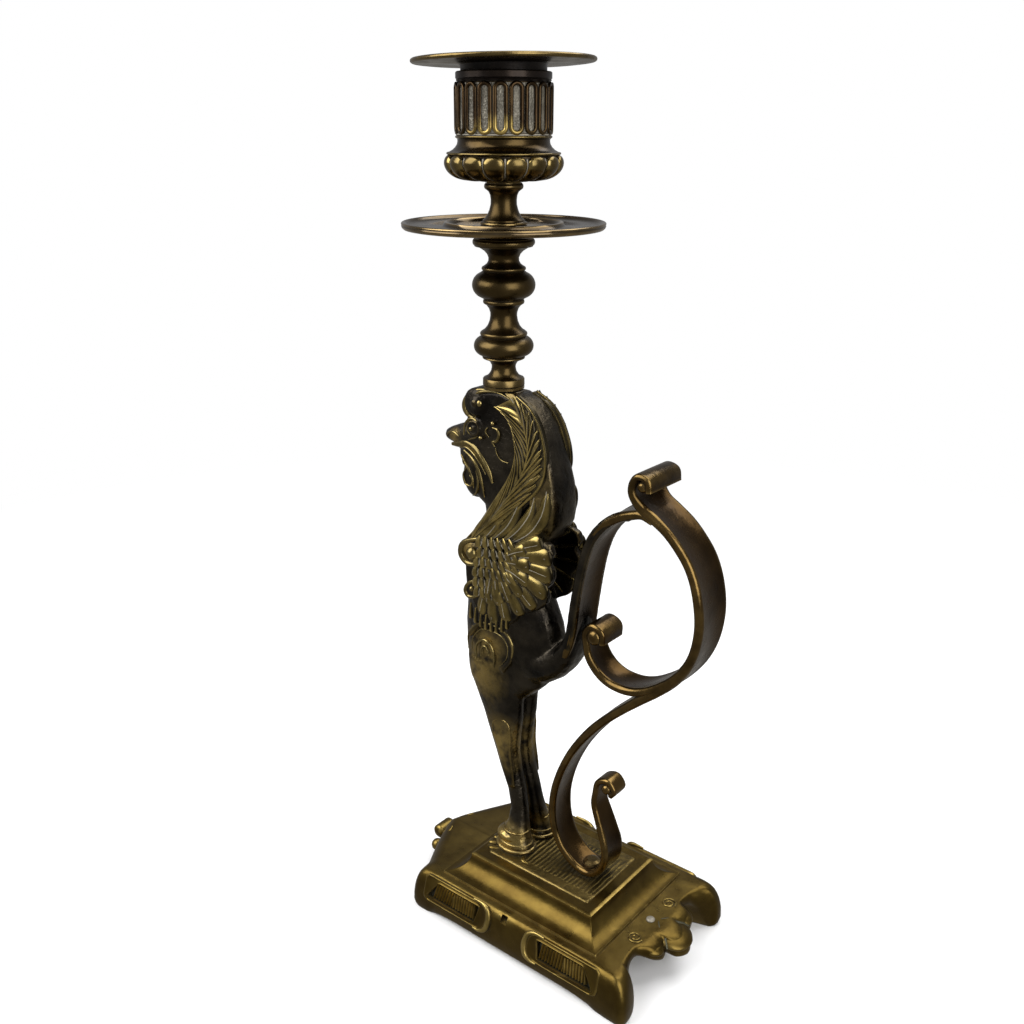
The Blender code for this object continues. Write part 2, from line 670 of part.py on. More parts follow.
def feathers(side):
    """Long curved head feather, the shorter one below it and the lobed fan of the wing."""
    long_outer = [(-32.3, 194.4), (-25.2, 195.2), (-18.8, 193.5), (-14.5, 190.0), (-11.0, 186.6),
                  (-8.0, 181.4),
                  (-5.9, 176.5), (-5.2, 171.7), (-6.1, 167.2), (-9.5, 162.5), (-15, 157),
                  (-21, 151.5), (-28, 146),
                  (-34, 141)]
    long_inner = [(-35.4, 144.5), (-32.4, 147.9), (-27.3, 153.4), (-24, 159.4), (-20, 164.7),
                  (-17.7, 169.3),
                  (-16.8, 174.5), (-17.4, 179.4), (-19.4, 184.0), (-22.6, 187.5), (-27.1, 190.6),
                  (-31.6, 192.0)]
    curved = [(x * MM, above_throat(z)) for x, z in long_outer + long_inner]
    short = [(-9, 162), (-6.8, 165.4), (-4.7, 166.2), (-3.5, 162.5), (-3.3, 158.4), (-5.1, 154),
             (-10.4, 149.6),
             (-17, 147.4), (-23, 147), (-20, 151), (-14, 156)]
    short = [(x * MM, above_throat(z)) for x, z in short]
    fan = [(-36, 141), (-30, 145), (-20, 147), (-10.5, 149), (-4.5, 150.3), (-1.2, 149.0), (0.0, 146.0),
           (-1.9, 142.8), (0.0, 140.3), (0.1, 137.6), (-0.9, 135.2), (-2.9, 133.2), (-1.8, 130.8),
           (-2.4, 128.0),
           (-5.4, 125.0), (-10.3, 122.4), (-12.6, 123.0), (-13.8, 119.8), (-16.2, 117.2), (-20.2, 114.0),
           (-23.9, 113.4), (-28.1, 114.0), (-31.4, 116.3), (-34.6, 120.0), (-37.4, 126), (-37.8, 133)]
    fan = [(x * MM, z * MM) for x, z in fan]
    root = side * (feather_spread - 3.4 * MM)
    outer = side * feather_spread
    return [
        plate(f"head feather {side}", curved, root, outer, 0.5 * MM, feather_lean),
        plate(f"short feather {side}", short, root, outer + side * 0.4 * MM, 0.5 * MM, feather_lean),
        plate(f"wing fan {side}", fan, side * (wing_y - wing_thickness / 2),
              side * (wing_y + wing_thickness / 2), 0.7 * MM)]


def fan_ribs(side):
    """Raised quills that divide the fan into its lobes."""
    hub = Vector((-24.0 * MM, 139.0 * MM))
    tips = [(-4.6, 148.6), (-1.6, 138.8), (-4.2, 129.6), (-9.4, 124.2), (-16.6, 118.8), (-24.5, 115.0)]
    surface = wing_y + wing_thickness / 2
    parts = []
    for i, (x, z) in enumerate(tips):
        tip = Vector((x * MM, z * MM))
        along = (tip - hub).normalized()
        across = Vector((-along.y, along.x))
        rings = []
        for share, half, rise in ((0.22, 0.35, 0.3), (0.55, 0.7, 0.75), (0.85, 0.8, 0.7), (0.98, 0.4, 0.2)):
            middle = hub.lerp(tip, share)
            ring = []
            for u, v in ((-1, -1), (1, -1), (0.5, rise), (-0.5, rise)):
                place = middle + across * (u * half * MM)
                ring.append((place.x, side * (surface + v * MM), place.y))
            rings.append(ring)
        parts.append(lofted(f"quill {side} {i}", rings))
    return parts


def shoulder(side):
    """Volutes at shoulder and breast and the collar over the thigh."""
    parts = [
        cross_cylinder(f"shoulder volute {side}", -35.2 * MM, 139.0 * MM, 4.4 * MM, side * 3 * MM,
                       side * 10.2 * MM, 16, 1.4 * MM),
        ball(f"shoulder boss {side}", (-33.4 * MM, side * 9.9 * MM, 138.0 * MM), 2.3 * MM, (1, 0.8, 1), 8),
        cross_cylinder(f"breast volute {side}", -36.0 * MM, 123.6 * MM, 2.6 * MM, side * 3 * MM,
                       side * 9.4 * MM, 10, 0.9 * MM)]
    collar = [(-36.4, 106.4), (-32, 112), (-26, 114.4), (-20.1, 111.9), (-17.0, 107.6),
              (-17.6, 102.0), (-21.3, 97.0)]
    rings = []
    for i, (x, z) in enumerate(collar):
        before, after = collar[max(i - 1, 0)], collar[min(i + 1, len(collar) - 1)]
        along = Vector((after[0] - before[0], after[1] - before[1])).normalized()
        across = Vector((-along.y, along.x))
        ring = []
        for u, v in ((-1.2, 5.5), (1.2, 5.5), (0.9, 9.5), (-0.9, 9.5)):
            ring.append(((x + across.x * u) * MM, side * v * MM, (z + across.y * u) * MM))
        rings.append(ring)
    parts.append(lofted(f"thigh collar {side}", rings))
    return parts


def leg(side):
    """Thigh, cannon, fetlock and cloven hoof: height, middle x, middle y, half length, half width."""
    stops = [
        (hoof_base / MM, hoof_x / MM, hoof_y / MM, 6.9, 5.4), (27.6, hoof_x / MM, hoof_y / MM, 7.0, 5.5),
        (28.4, hoof_x / MM, hoof_y / MM, 6.2, 4.9), (31.5, -16.8, 5.9, 5.4, 4.5),
        (35.5, -16.2, 5.1, 3.9, 3.7),
        (41, -16.4, 4.3, 3.2, 3.1), (48, -18.0, 3.9, 3.4, 3.1), (56, -21.0, 3.6, 4.2, 3.3),
        (63, -22.8, 3.6, 5.0, 3.5),
        (70, -23.8, 3.8, 6.6, 3.8), (77, -24.6, 3.9, 8.4, 4.1), (84, -26.0, 4.1, 10.2, 4.3),
        (90, -27.0, 4.2, 12.0, 4.5),
        (97, -27.6, 4.2, 12.6, 4.6)]
    section = round_section(18, 2.3)
    rings = []
    for z, x, y, reach, half in stops:
        rings.append([((x + reach * u) * MM, side * (y + half * v) * MM, z * MM) for u, v in section])
    return lofted(f"leg {side}", rings)


def knee_panel(side):
    """Raised long panel on the outer face of the leg, rounded at its top."""
    outline = [(-26.6, 74.4), (-23.4, 76.6), (-19.8, 75.4), (-18.6, 71.0), (-18.6, 63.0),
               (-17.4, 55.0), (-16.8, 50.0),
               (-19.6, 50.0), (-22.0, 56.0), (-24.4, 63.0), (-26.6, 69.0)]
    outline = [(x * MM, z * MM) for x, z in outline]
    return plate(f"knee panel {side}", outline, side * 4.5 * MM, side * 7.9 * MM, 0.6 * MM)


def tail():
    """Rounded rump and the strap that rises from it to the scroll: x, z, half width, thickness."""
    half = tail_half_width
    thick = tail_thickness
    rump = [
        (-24, 101.6, 1.1, 4.6), (-14, 100.6, 1.12, 4.9), (-6, 102.4, 1.1, 4.1), (0.2, 107.0, 1.06, 3.0),
        (3.8, 113.0, 1.03, 2.0), (5.5, 119.0, 1.0, 1.4), (6.4, 125.0, 0.98, 1.0)]
    strap = [
        (4.4, 113.0, 1.03, 1.0), (6.0, 120.5, 1.03, 1.0), (7.2, 130, 1.03, 1.0), (9.6, 144, 1.0, 1.0),
        (12.6, 153.2, 1.0, 1.0),
        (17.2, 159.6, 1.0, 1.0), (22.6, 163.7, 1.0, 1.0), (27.2, 165.0, 1.0, 0.95)]
    rump = [(x * MM, z * MM, half * wide, thick * deep) for x, z, wide, deep in rump]
    strap = [(x * MM, z * MM, half * wide, thick * deep) for x, z, wide, deep in strap]
    return [ribbon("rump", rump, round_section(16, 2.3), 14), ribbon("tail", strap, strap_section, 18)]


def figure_cuts():
    cuts = [cylinder("rod bore", bore_radius, head_top - rod_in_head - seat_gap, head_top + 2 * MM,
                     stem_x, 0.0, 16)]
    hole = screw_radius + bore_clearance
    top = hoof_base + leg_screw_depth + seat_gap
    for side in (-1, 1):
        cuts.append(cylinder(f"hoof bore {side}", hole, hoof_base - 2 * MM, top, hoof_x, side * hoof_y, 16))
    return cuts


def make_figure(material):
    figure = figure_body()
    figure.data.materials.append(material)
    parts = beak() + tail()
    for side in (-1, 1):
        parts += face_parts(side) + feathers(side) + fan_ribs(side) + shoulder(side)
        parts += [leg(side), knee_panel(side)]
    combine_all(figure, parts, "UNION")
    combine_all(figure, figure_cuts(), "DIFFERENCE")
    return figure


def make_scroll(material):
    """C-scroll with rolled ends and the S-strap that stands on the base, one casting."""
    wide, low, thick = strap_half_width, foot_strap_half_width, strap_thickness
    rx, rz = top_roll_centre[0] / MM, top_roll_centre[1] / MM
    ex, ez = end_roll_centre[0] / MM, end_roll_centre[1] / MM
    roll_wide = top_roll_half_width
    main = [
        (rx + 2.9, rz - 1.2, roll_wide, thick * 0.75), (rx + 2.2, rz + 2.2, roll_wide, thick * 0.75),
        (rx - 1.2, rz + 2.9, roll_wide, thick * 0.75), (rx - 3.1, rz + 0.2, roll_wide, thick * 0.8),
        (rx - 2.9, rz - 3.2, roll_wide, thick * 0.9), (rx - 0.2, rz - 7.0, wide * 1.04, thick * 1.1),
        (36.0, 166.2, wide, thick * 1.1), (40.6, 163.2, wide, thick), (44.6, 159.4, wide, thick),
        (48.4, 154.6, wide, thick), (51.0, 149.0, wide, thick), (52.6, 142.6, wide, thick),
        (scroll_reach / MM - strap_thickness / MM / 2, 136.4, wide * 0.98, thick),
        (52.6, 130.0, wide * 0.94, thick),
        (51.0, 124.2, wide * 0.9, thick), (48.2, 118.8, wide * 0.85, thick * 1.1),
        (44.0, 113.4, wide * 0.8, thick * 1.2),
        (38.6, 108.2, wide * 0.76, thick * 1.2), (32.4, 102.8, low * 1.06, thick * 1.1),
        (26.0, 97.0, low * 1.03, thick),
        (19.6, 90.8, low, thick), (13.8, 84.2, low, thick), (8.8, 77.2, low, thick * 0.95),
        (4.8, 70.2, low, thick * 0.9),
        (1.2, 61.6, low, thick * 0.9), (-1.0, 53.0, low, thick * 0.9), (-1.4, 45.4, low, thick * 0.9),
        (-0.2, 38.4, low, thick * 0.9), (2.8, 32.4, low, thick * 0.9), (7.2, 28.6, low, thick * 0.9),
        (11.0, strap_centre_height / MM, low, thick * 0.9),
        (15.4, strap_centre_height / MM, low, thick * 0.9),
        (19.0, 29.8, low, thick * 0.9), (21.2, 34.4, low * 0.98, thick * 0.85),
        (21.2, 39.6, low * 0.94, thick * 0.85),
        (19.4, 45.0, low * 0.88, thick * 0.85), (17.2, 50.6, low * 0.8, thick * 0.8),
        (15.5, 55.4, low * 0.74, thick * 0.75),
        (ex - 4.2, ez - 3.2, low * 0.7, thick * 0.7), (ex - 3.2, ez + 1.6, low * 0.68, thick * 0.7),
        (ex + 0.6, ez + 3.4, low * 0.66, thick * 0.7), (ex + 3.2, ez + 0.8, low * 0.64, thick * 0.65),
        (ex + 1.8, ez - 1.9, low * 0.62, thick * 0.6)]
    mx, mz = mid_roll_centre[0] / MM, mid_roll_centre[1] / MM
    branch = [
        (48.6, 119.6, wide * 0.84, thick * 0.8), (43.4, 113.6, wide * 0.8, thick * 0.9),
        (37.0, 108.6, wide * 0.78, thick * 0.95),
        (31.6, 105.8, low * 1.1, thick), (26.2, 104.7, low * 1.08, thick), (20.4, 105.3, low * 1.06, thick),
        (15.8, 107.8, low * 1.05, thick), (12.5, 111.9, low * 1.05, thick * 0.95),
        (mx - 3.2, mz - 3.4, low * 1.05, thick * 0.85),
        (mx - 3.5, mz + 0.6, low * 1.05, thick * 0.8), (mx - 0.9, mz + 3.5, low * 1.05, thick * 0.8),
        (mx + 2.8, mz + 2.2, low * 1.05, thick * 0.75), (mx + 3.1, mz - 1.6, low * 1.05, thick * 0.7)]

    def in_metres(path):
        return [(x * MM, z * MM, half, thickness) for x, z, half, thickness in path]

    scroll = ribbon("scroll", in_metres(main), strap_section, 76)
    scroll.data.materials.append(material)
    parts = [ribbon("lower curl", in_metres(branch), strap_section, 30)]
    for name, centre, half in (
            ("top roll core", top_roll_centre, top_roll_half_width * 0.96),
            ("mid roll core", mid_roll_centre, foot_strap_half_width * 1.4),
            ("end roll core", end_roll_centre, foot_strap_half_width * 0.62)):
        parts.append(cross_cylinder(name, centre[0], centre[1], roll_core_radius, -half, half, 12))
    combine_all(scroll, parts, "UNION")
    hole = screw_radius + bore_clearance
    recess = screw_head_radius + bore_clearance
    rings = []
    for z, radius in ((plateau_top - 1 * MM, hole), (screw_seat, hole), (screw_seat, recess),
                      (screw_seat + 6 * MM, recess)):
        rings.append([
            (scroll_screw_x + radius * math.cos(math.pi * i / 10), radius * math.sin(math.pi * i / 10), z)
            for i in range(20)])
    combine(scroll, lofted("scroll screw bore", rings), "DIFFERENCE")
    return scroll


def stem_profile():
    """Turned baluster from its top collar down to the band on the griffin's head."""
    top, foot = stem_top, stem_base
    bore = bore_radius
    profile = [(stem_collar_radius * 0.82, top), (stem_collar_radius * 0.82, top - 2.4 * MM)]
    profile += [(stem_collar_radius, top - 2.6 * MM), (stem_collar_radius, top - 4.9 * MM)]
    profile += [(stem_collar_radius * 0.72, top - 5.6 * MM), (4.9 * MM, top - 8.2 * MM),
                (5.3 * MM, top - 10.0 * MM)]
    profile += [(6.9 * MM, top - 11.2 * MM), (6.9 * MM, top - 12.4 * MM), (7.6 * MM, top - 12.7 * MM)]
    profile += arc(upper_knop_radius - 4.2 * MM, top - 16.9 * MM, 4.2 * MM, 4.2 * MM, 64, -64, 7)
    profile += [(6.4 * MM, top - 21.2 * MM), (6.4 * MM, top - 23.0 * MM), (4.9 * MM, top - 23.9 * MM)]
    profile += [(4.3 * MM, top - 26.4 * MM), (4.9 * MM, top - 29.4 * MM), (7.5 * MM, top - 31.6 * MM)]
    profile += [(7.5 * MM, top - 33.1 * MM)]
    profile += arc(lower_knop_radius - 3.2 * MM, top - 36.4 * MM, 3.2 * MM, 3.2 * MM, 66, -66, 7)
    profile += [(6.9 * MM, top - 39.7 * MM), (6.9 * MM, top - 40.4 * MM), (4.6 * MM, top - 41.4 * MM)]
    profile += [(3.9 * MM, top - 42.9 * MM), (4.6 * MM, top - 44.9 * MM),
                (stem_foot_radius, top - 46.9 * MM)]
    profile += [(stem_foot_radius, foot), (bore, foot), (bore, top)]
    return profile


def pan_profile():
    rim = pan_base + pan_rim_height
    return [
        (pan_ring_radius - 1.5 * MM, pan_top), (pan_ring_radius - 1.0 * MM, pan_top + 0.7 * MM),
        (pan_ring_radius, pan_top + 0.7 * MM), (pan_ring_radius + 0.8 * MM, pan_top),
        (pan_radius - 2.0 * MM, pan_top), (pan_radius - 1.5 * MM, rim - 0.3 * MM),
        (pan_radius - 0.9 * MM, rim),
        (pan_radius - 0.3 * MM, rim - 0.3 * MM), (pan_radius, rim - 1.1 * MM),
        (pan_radius - 0.5 * MM, pan_base),
        (bore_radius, pan_base), (bore_radius, pan_top)]


def neck_profile():
    top, foot = neck_top, neck_base
    waist = neck_waist_radius
    profile = [(neck_collar_radius, top), (neck_collar_radius, top - 2.0 * MM),
               (neck_collar_radius - 0.9 * MM, top - 2.6 * MM)]
    profile += arc(waist + 3.4 * MM, top - 5.8 * MM, 3.4 * MM, 3.4 * MM, 130, 222, 6)
    profile += [(neck_foot_radius - 1.0 * MM, foot + 1.3 * MM), (neck_foot_radius, foot + 0.9 * MM)]
    profile += [(neck_foot_radius, foot), (bore_radius, foot), (bore_radius, top)]
    return profile


def make_cup(material):
    """Socket with arched flutes round its wall and gadroons under its belly."""
    steps = flute_count * 4
    wall = cup_radius
    top = cup_top
    mouth = cup_bore_radius
    belly = cup_belly_radius
    outer = [
        (wall - 0.2 * MM, 0.0, 0, 0), (wall - 0.2 * MM, 2.4 * MM, 0, 0), (wall, 3.0 * MM, 1, 0),
        (wall, 10.0 * MM, 1, 0),
        (wall, 17.6 * MM, 1, 0), (wall, 18.4 * MM, 0, 0), (wall + 0.1 * MM, 20.2 * MM, 0, 0),
        (wall + 1.0 * MM, 22.2 * MM, 0, 0), (belly - 0.5 * MM, 23.4 * MM, 0, 0), (belly, 24.8 * MM, 0, 1),
        (belly, 26.2 * MM, 0, 1), (belly - 1.6 * MM, 28.4 * MM, 0, 1), (belly * 0.72, 30.2 * MM, 0, 1),
        (neck_collar_radius + 0.4 * MM, cup_height, 0, 0)]
    rings = []
    for radius, below, fluted, gadrooned in outer:
        ring = []
        for i in range(steps):
            turn = 2 * math.pi * i / steps
            r = radius
            if fluted and i % 4 in (1, 2, 3):
                r -= flute_depth
            if gadrooned:
                r -= gadroon_depth * (1 - abs(math.sin(turn * gadroon_count / 2)))
            ring.append((stem_x + r * math.cos(turn), r * math.sin(turn), top - below))
        rings.append(ring)
    inner = [(bore_radius, cup_base), (bore_radius, cup_floor_top), (mouth, cup_floor_top), (mouth, top)]
    for radius, z in inner:
        rings.append([
            (stem_x + radius * math.cos(2 * math.pi * i / steps),
             radius * math.sin(2 * math.pi * i / steps), z)
            for i in range(steps)])

    def build(shape):
        rows = loft(shape, rings, closed_caps=False)
        first, last = rows[0], rows[-1]
        for i in range(steps):
            j = (i + 1) % steps
            shape.faces.new((last[i], last[j], first[j], first[i]))

    return add_object("cup", mesh_from("cup", build), material)


def make_nozzle(material):
    """Loose candle nozzle: a tube that stands on the cup floor under a wide rimmed disc."""
    foot = cup_floor_top + seat_gap
    disc = cup_top + nozzle_rise
    wide = nozzle_disc_radius
    thick = nozzle_disc_thickness
    taper = 0.35 * MM
    profile = [
        (candle_radius, disc + thick * 0.7), (candle_radius + 1.2 * MM, disc + thick * 0.8),
        (wide - 3.0 * MM, disc + thick * 0.9),
        (wide - 1.4 * MM, disc + thick + 0.3 * MM), (wide - 0.4 * MM, disc + thick),
        (wide, disc + thick * 0.45),
        (wide - 0.5 * MM, disc - 0.1 * MM), (wide - 2.5 * MM, disc), (nozzle_radius + 0.8 * MM, disc),
        (nozzle_radius - taper * 0.3, disc - 0.6 * MM), (nozzle_radius - taper, foot + 2 * MM),
        (nozzle_radius - taper * 1.6, foot),
        (candle_radius - taper * 0.3, foot), (candle_radius, foot + 4 * MM)]
    nozzle = turned("nozzle", profile, 48, material)
    pivot = Matrix.Translation((stem_x, 0.0, cup_top))
    lean = pivot @ Matrix.Rotation(-nozzle_tilt, 4, "Y") @ pivot.inverted()
    nozzle.matrix_world = lean @ Matrix.Translation((stem_x, 0.0, 0.0))
    return nozzle


def make_turned(stem_metal, pan_metal, cup_metal):
    stem = turned("stem", stem_profile(), 32, stem_metal)
    pan = turned("drip_pan", pan_profile(), 56, pan_metal)
    neck = turned("neck", neck_profile(), 32, stem_metal)
    return [stem, pan, neck, make_cup(cup_metal), make_nozzle(pan_metal)]


def hexagon(name, across_flats, low, high, hole, x, material):
    """A hexagon nut with its round hole."""
    sides = 24
    radius = across_flats / 2
    outer, inner = [], []
    for i in range(sides):
        turn = 2 * math.pi * i / sides
        offset = (turn + math.pi / 6) % (math.pi / 3) - math.pi / 6
        flat = radius / math.cos(offset)
        outer.append((x + flat * math.cos(turn), flat * math.sin(turn)))
        inner.append((x + hole * math.cos(turn), hole * math.sin(turn)))
    rings = [[(*p, low) for p in outer], [(*p, high) for p in outer], [(*p, high) for p in inner]]
    rings.append([(*p, low) for p in inner])

    def build(shape):
        rows = loft(shape, rings, closed_caps=False)
        for i in range(sides):
            j = (i + 1) % sides
            shape.faces.new((rows[-1][i], rows[-1][j], rows[0][j], rows[0][i]))

    return add_object(name, mesh_from(name, build), material, 20)


def make_fixings(material):
    """Rod, nuts, washer and screws that hold the castings and turnings together."""
    rod_top = cup_nut_base + cup_nut_height + 1.2 * MM
    rod = cylinder("tie_rod", rod_radius, head_top - rod_in_head, rod_top, stem_x, 0.0, 16)
    rod.data.materials.append(material)
    washer = [(cup_washer_radius, washer_base + cup_washer_thickness), (cup_washer_radius, washer_base)]
    washer += [(bore_radius, washer_base), (bore_radius, washer_base + cup_washer_thickness)]
    pieces = [rod, turned("cup_washer", washer, 24, material)]
    pieces.append(hexagon("cup_nut", cup_nut_across_flats, cup_nut_base, cup_nut_base + cup_nut_height,
                          bore_radius, stem_x, material))
    roof = plateau_top - plateau_thickness
    head_top_under = roof - seat_gap
    for name, side in (("leg_screw_near", -1), ("leg_screw_far", 1)):
        pieces.append(screw(name, hoof_x, side * hoof_y, head_top_under, 1,
                            hoof_base + leg_screw_depth, material))
    tip = roof - scroll_nut_height - 1.2 * MM
    pieces.append(screw("scroll_screw", scroll_screw_x, 0.0, screw_seat + seat_gap, -1, tip, material))
    pieces.append(hexagon("scroll_nut", scroll_nut_across_flats, roof - seat_gap - scroll_nut_height,
                          roof - seat_gap,
                          screw_radius + bore_clearance, scroll_screw_x, material))
    return pieces


def screw(name, x, y, seat, direction, tip, material):
    """Domed screw: its head bears on the seat and its shank runs on in the given direction."""
    sides = 16
    head_end = seat - direction * screw_head_height
    stops = [(head_end, screw_head_radius * 0.55),
             (head_end + direction * 0.5 * MM, screw_head_radius * 0.9)]
    stops += [(head_end + direction * 1.1 * MM, screw_head_radius), (seat, screw_head_radius),
              (seat, screw_radius)]
    stops += [(tip, screw_radius)]
    if direction < 0:
        stops.reverse()
    rings = []
    for z, radius in stops:
        rings.append([
            (x + radius * math.cos(2 * math.pi * i / sides),
             y + radius * math.sin(2 * math.pi * i / sides), z)
            for i in range(sides)])
    piece = lofted(name, rings)
    piece.data.materials.append(material)
    return piece


def main():
    clear_scene()
    base_metal = brass("olive brass", (0.32, 0.22, 0.06), 0.42)
    figure_metal = brass("dark bronze", (0.12, 0.09, 0.05), 0.38)
    stem_metal = brass("brown brass", (0.20, 0.12, 0.06), 0.3)
    pan_metal = brass("polished brass", (0.30, 0.22, 0.10), 0.25)
    screw_metal = brass("dark steel", (0.10, 0.09, 0.08), 0.5)
    pieces = [make_base(base_metal), make_figure(figure_metal), make_scroll(figure_metal)]
    pieces += make_turned(stem_metal, pan_metal, pan_metal)
    pieces += make_fixings(screw_metal)
    centre = bpy.data.objects.new("candlestick", None)
    bpy.context.scene.collection.objects.link(centre)
    centre.location = (-centre_x, 0.0, 0.0)
    for piece in pieces:
        piece.parent = centre
    for helper in bpy.data.objects:
        if helper.hide_render:
            helper.parent = centre


main()
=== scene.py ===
import math
import bmesh
import bpy
from mathutils import Matrix, Vector


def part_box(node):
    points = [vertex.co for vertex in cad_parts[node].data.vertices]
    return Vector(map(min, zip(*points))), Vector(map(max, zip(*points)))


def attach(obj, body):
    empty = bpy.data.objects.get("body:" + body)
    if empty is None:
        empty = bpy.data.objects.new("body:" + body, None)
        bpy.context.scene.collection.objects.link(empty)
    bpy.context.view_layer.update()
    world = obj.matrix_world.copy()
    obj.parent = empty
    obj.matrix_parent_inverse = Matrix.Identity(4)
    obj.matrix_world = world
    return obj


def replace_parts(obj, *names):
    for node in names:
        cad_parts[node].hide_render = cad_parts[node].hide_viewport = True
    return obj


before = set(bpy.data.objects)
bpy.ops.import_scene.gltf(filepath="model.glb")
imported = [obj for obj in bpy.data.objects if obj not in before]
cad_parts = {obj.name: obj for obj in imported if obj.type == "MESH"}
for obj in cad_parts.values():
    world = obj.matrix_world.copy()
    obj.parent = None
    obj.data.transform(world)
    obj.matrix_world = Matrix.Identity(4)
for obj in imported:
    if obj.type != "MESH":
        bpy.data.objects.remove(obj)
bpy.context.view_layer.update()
mm = 0.001
stemLow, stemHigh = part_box("stem")
stemX = (stemLow.x + stemHigh.x) / 2
shift = stemX / mm + 27.8  # drawings below are in mm from the middle of the base block
nearFar = (-1, 1)


def at(x, y, z):
    return Vector(((x + shift) * mm, y * mm, z * mm))


def curve(points, count):  # Catmull-Rom through points of any size
    first = [2 * a - b for a, b in zip(points[0], points[1])]
    last = [2 * a - b for a, b in zip(points[-1], points[-2])]
    knots = [first] + [list(p) for p in points] + [last]
    spans = len(points) - 1
    found = []
    for step in range(count):
        place = step * spans / (count - 1)
        span = min(int(place), spans - 1)
        t = place - span
        a, b, c, d = knots[span:span + 4]
        found.append([0.5 * (2 * q + (r - p) * t + (2 * p - 5 * q + 4 * r - s) * t * t
                             + (3 * q - p - 3 * r + s) * t ** 3) for p, q, r, s in zip(a, b, c, d)])
    return found


def spread(values, count):  # a short list of sizes stretched to count stations
    return [v[0] for v in curve([(v,) for v in values], count)]


# Materials

def link(tree, a, b):
    tree.links.new(a, b)


def node(tree, kind, **settings):
    made = tree.nodes.new(kind)
    for key, value in settings.items():
        setattr(made, key, value)
    return made


def maths(tree, operation, a, b=None):
    made = node(tree, "ShaderNodeMath", operation=operation)
    for i, value in enumerate((a, b)):
        if isinstance(value, (int, float)):
            made.inputs[i].default_value = value
        elif value is not None:
            link(tree, value, made.inputs[i])
    return made.outputs[0]


def times(tree, a, b):
    return maths(tree, "MULTIPLY", a, b)


def plus(tree, a, b):
    return maths(tree, "ADD", a, b)


def split(tree, vector):
    made = node(tree, "ShaderNodeSeparateXYZ")
    link(tree, vector, made.inputs[0])
    return made.outputs


def noise(tree, coords, scale, detail=4.0, rough=0.55, stretch=None):
    made = node(tree, "ShaderNodeTexNoise")
    made.inputs["Scale"].default_value = scale
    made.inputs["Detail"].default_value = detail
    made.inputs["Roughness"].default_value = rough
    if stretch:
        mapping = node(tree, "ShaderNodeMapping")
        mapping.inputs["Scale"].default_value = stretch
        link(tree, coords, mapping.inputs["Vector"])
        coords = mapping.outputs[0]
    link(tree, coords, made.inputs["Vector"])
    return made.outputs["Fac"]


def ramp(tree, value, low, high, lowTo=0.0, highTo=1.0):
    made = node(tree, "ShaderNodeMapRange")
    made.inputs["From Min"].default_value = low
    made.inputs["From Max"].default_value = high
    made.inputs["To Min"].default_value = lowTo
    made.inputs["To Max"].default_value = highTo
    made.clamp = True
    link(tree, value, made.inputs["Value"])
    return made.outputs[0]


def mixed(tree, factor, a, b):
    made = node(tree, "ShaderNodeMix", data_type="RGBA")
    link(tree, factor, made.inputs[0])
    for socket, value in ((made.inputs[6], a), (made.inputs[7], b)):
        if isinstance(value, tuple):
            socket.default_value = (*value, 1)
        else:
            link(tree, value, socket)
    return made.outputs[2]


plainLook = {"patchScale": 70, "patchEdges": (0.36, 0.64), "stretch": None, "fineScale": 900, "grain": 0.25,
             "bump": 0.35, "cast": 0, "pits": (520, 0.34, 0.5), "waves": (170, 0.3, 0.7), "waveShare": 3.0,
             "bumpDepth": 0.15, "edge": (0.505, 0.56), "wear": 0.9, "rubScale": 160, "rubShare": 0.55,
             "rubEdges": (0.18, 0.34, 0.35, 1.0), "highlightZones": (), "zoneStart": 0.25, "zoneMost": 0.9,
             "zoneScale": 180, "zoneEdges": (0.32, 0.56), "ribs": None, "ribWobble": 0.0012,
             "ribReach": (0.0113, 0.0108), "ribHeight": 1.6, "furrowShade": 0.75, "hammer": None,
             "hammerHeight": 1.6, "topShade": None, "fadeTo": 0.14, "rear": None,
             "rearWay": (0.9, 0, 0.44), "rearEdges": (0.25, 0.6),
             # hollows mixed toward the crevice colour: partly real dirt and residue, partly painted shade
             "dirtAndShade": 0.85, "creviceDirtAndShade": (0.012, 0.010, 0.007), "creviceSize": 2.2, "hollow": (0.25, 0.72),
             "dirtAndShadeSpots": (260, 0.3, 0.6, 0.55, 1.0), "metal": 1.0, "creviceMetal": 0.25,
             "rough": (0.28, 0.45), "roughScale": 210, "roughDirt": 0.35, "roughWorn": 0.06}


def castHeight(tree, coords, look):  # shallow pits and unevenness of a casting
    scale, low, high = look["pits"]
    pits = ramp(tree, noise(tree, coords, scale, 3), low, high)
    scale, low, high = look["waves"]
    waves = ramp(tree, noise(tree, coords, scale, 3), low, high)
    return times(tree, plus(tree, pits, times(tree, waves, look["waveShare"])), look["cast"])


def paintedHighlightSpots(tree, coords, colour, look):  # painted highlights: golden spots at the listed places, alike on both sides
    sides = node(tree, "ShaderNodeVectorMath", operation="ABSOLUTE")
    link(tree, coords, sides.inputs[0])
    for x, y, z, reach in look["highlightZones"]:
        away = node(tree, "ShaderNodeVectorMath", operation="DISTANCE")
        link(tree, sides.outputs[0], away.inputs[0])
        spot = at(x, y, z)
        away.inputs[1].default_value = (abs(spot.x), abs(spot.y), spot.z)
        near = ramp(tree, away.outputs["Value"], reach * look["zoneStart"] * mm, reach * mm,
                    look["zoneMost"], 0.0)
        patch = ramp(tree, noise(tree, coords, look["zoneScale"], 4), *look["zoneEdges"])
        colour = mixed(tree, times(tree, near, patch), colour, look["bright"])
    return colour


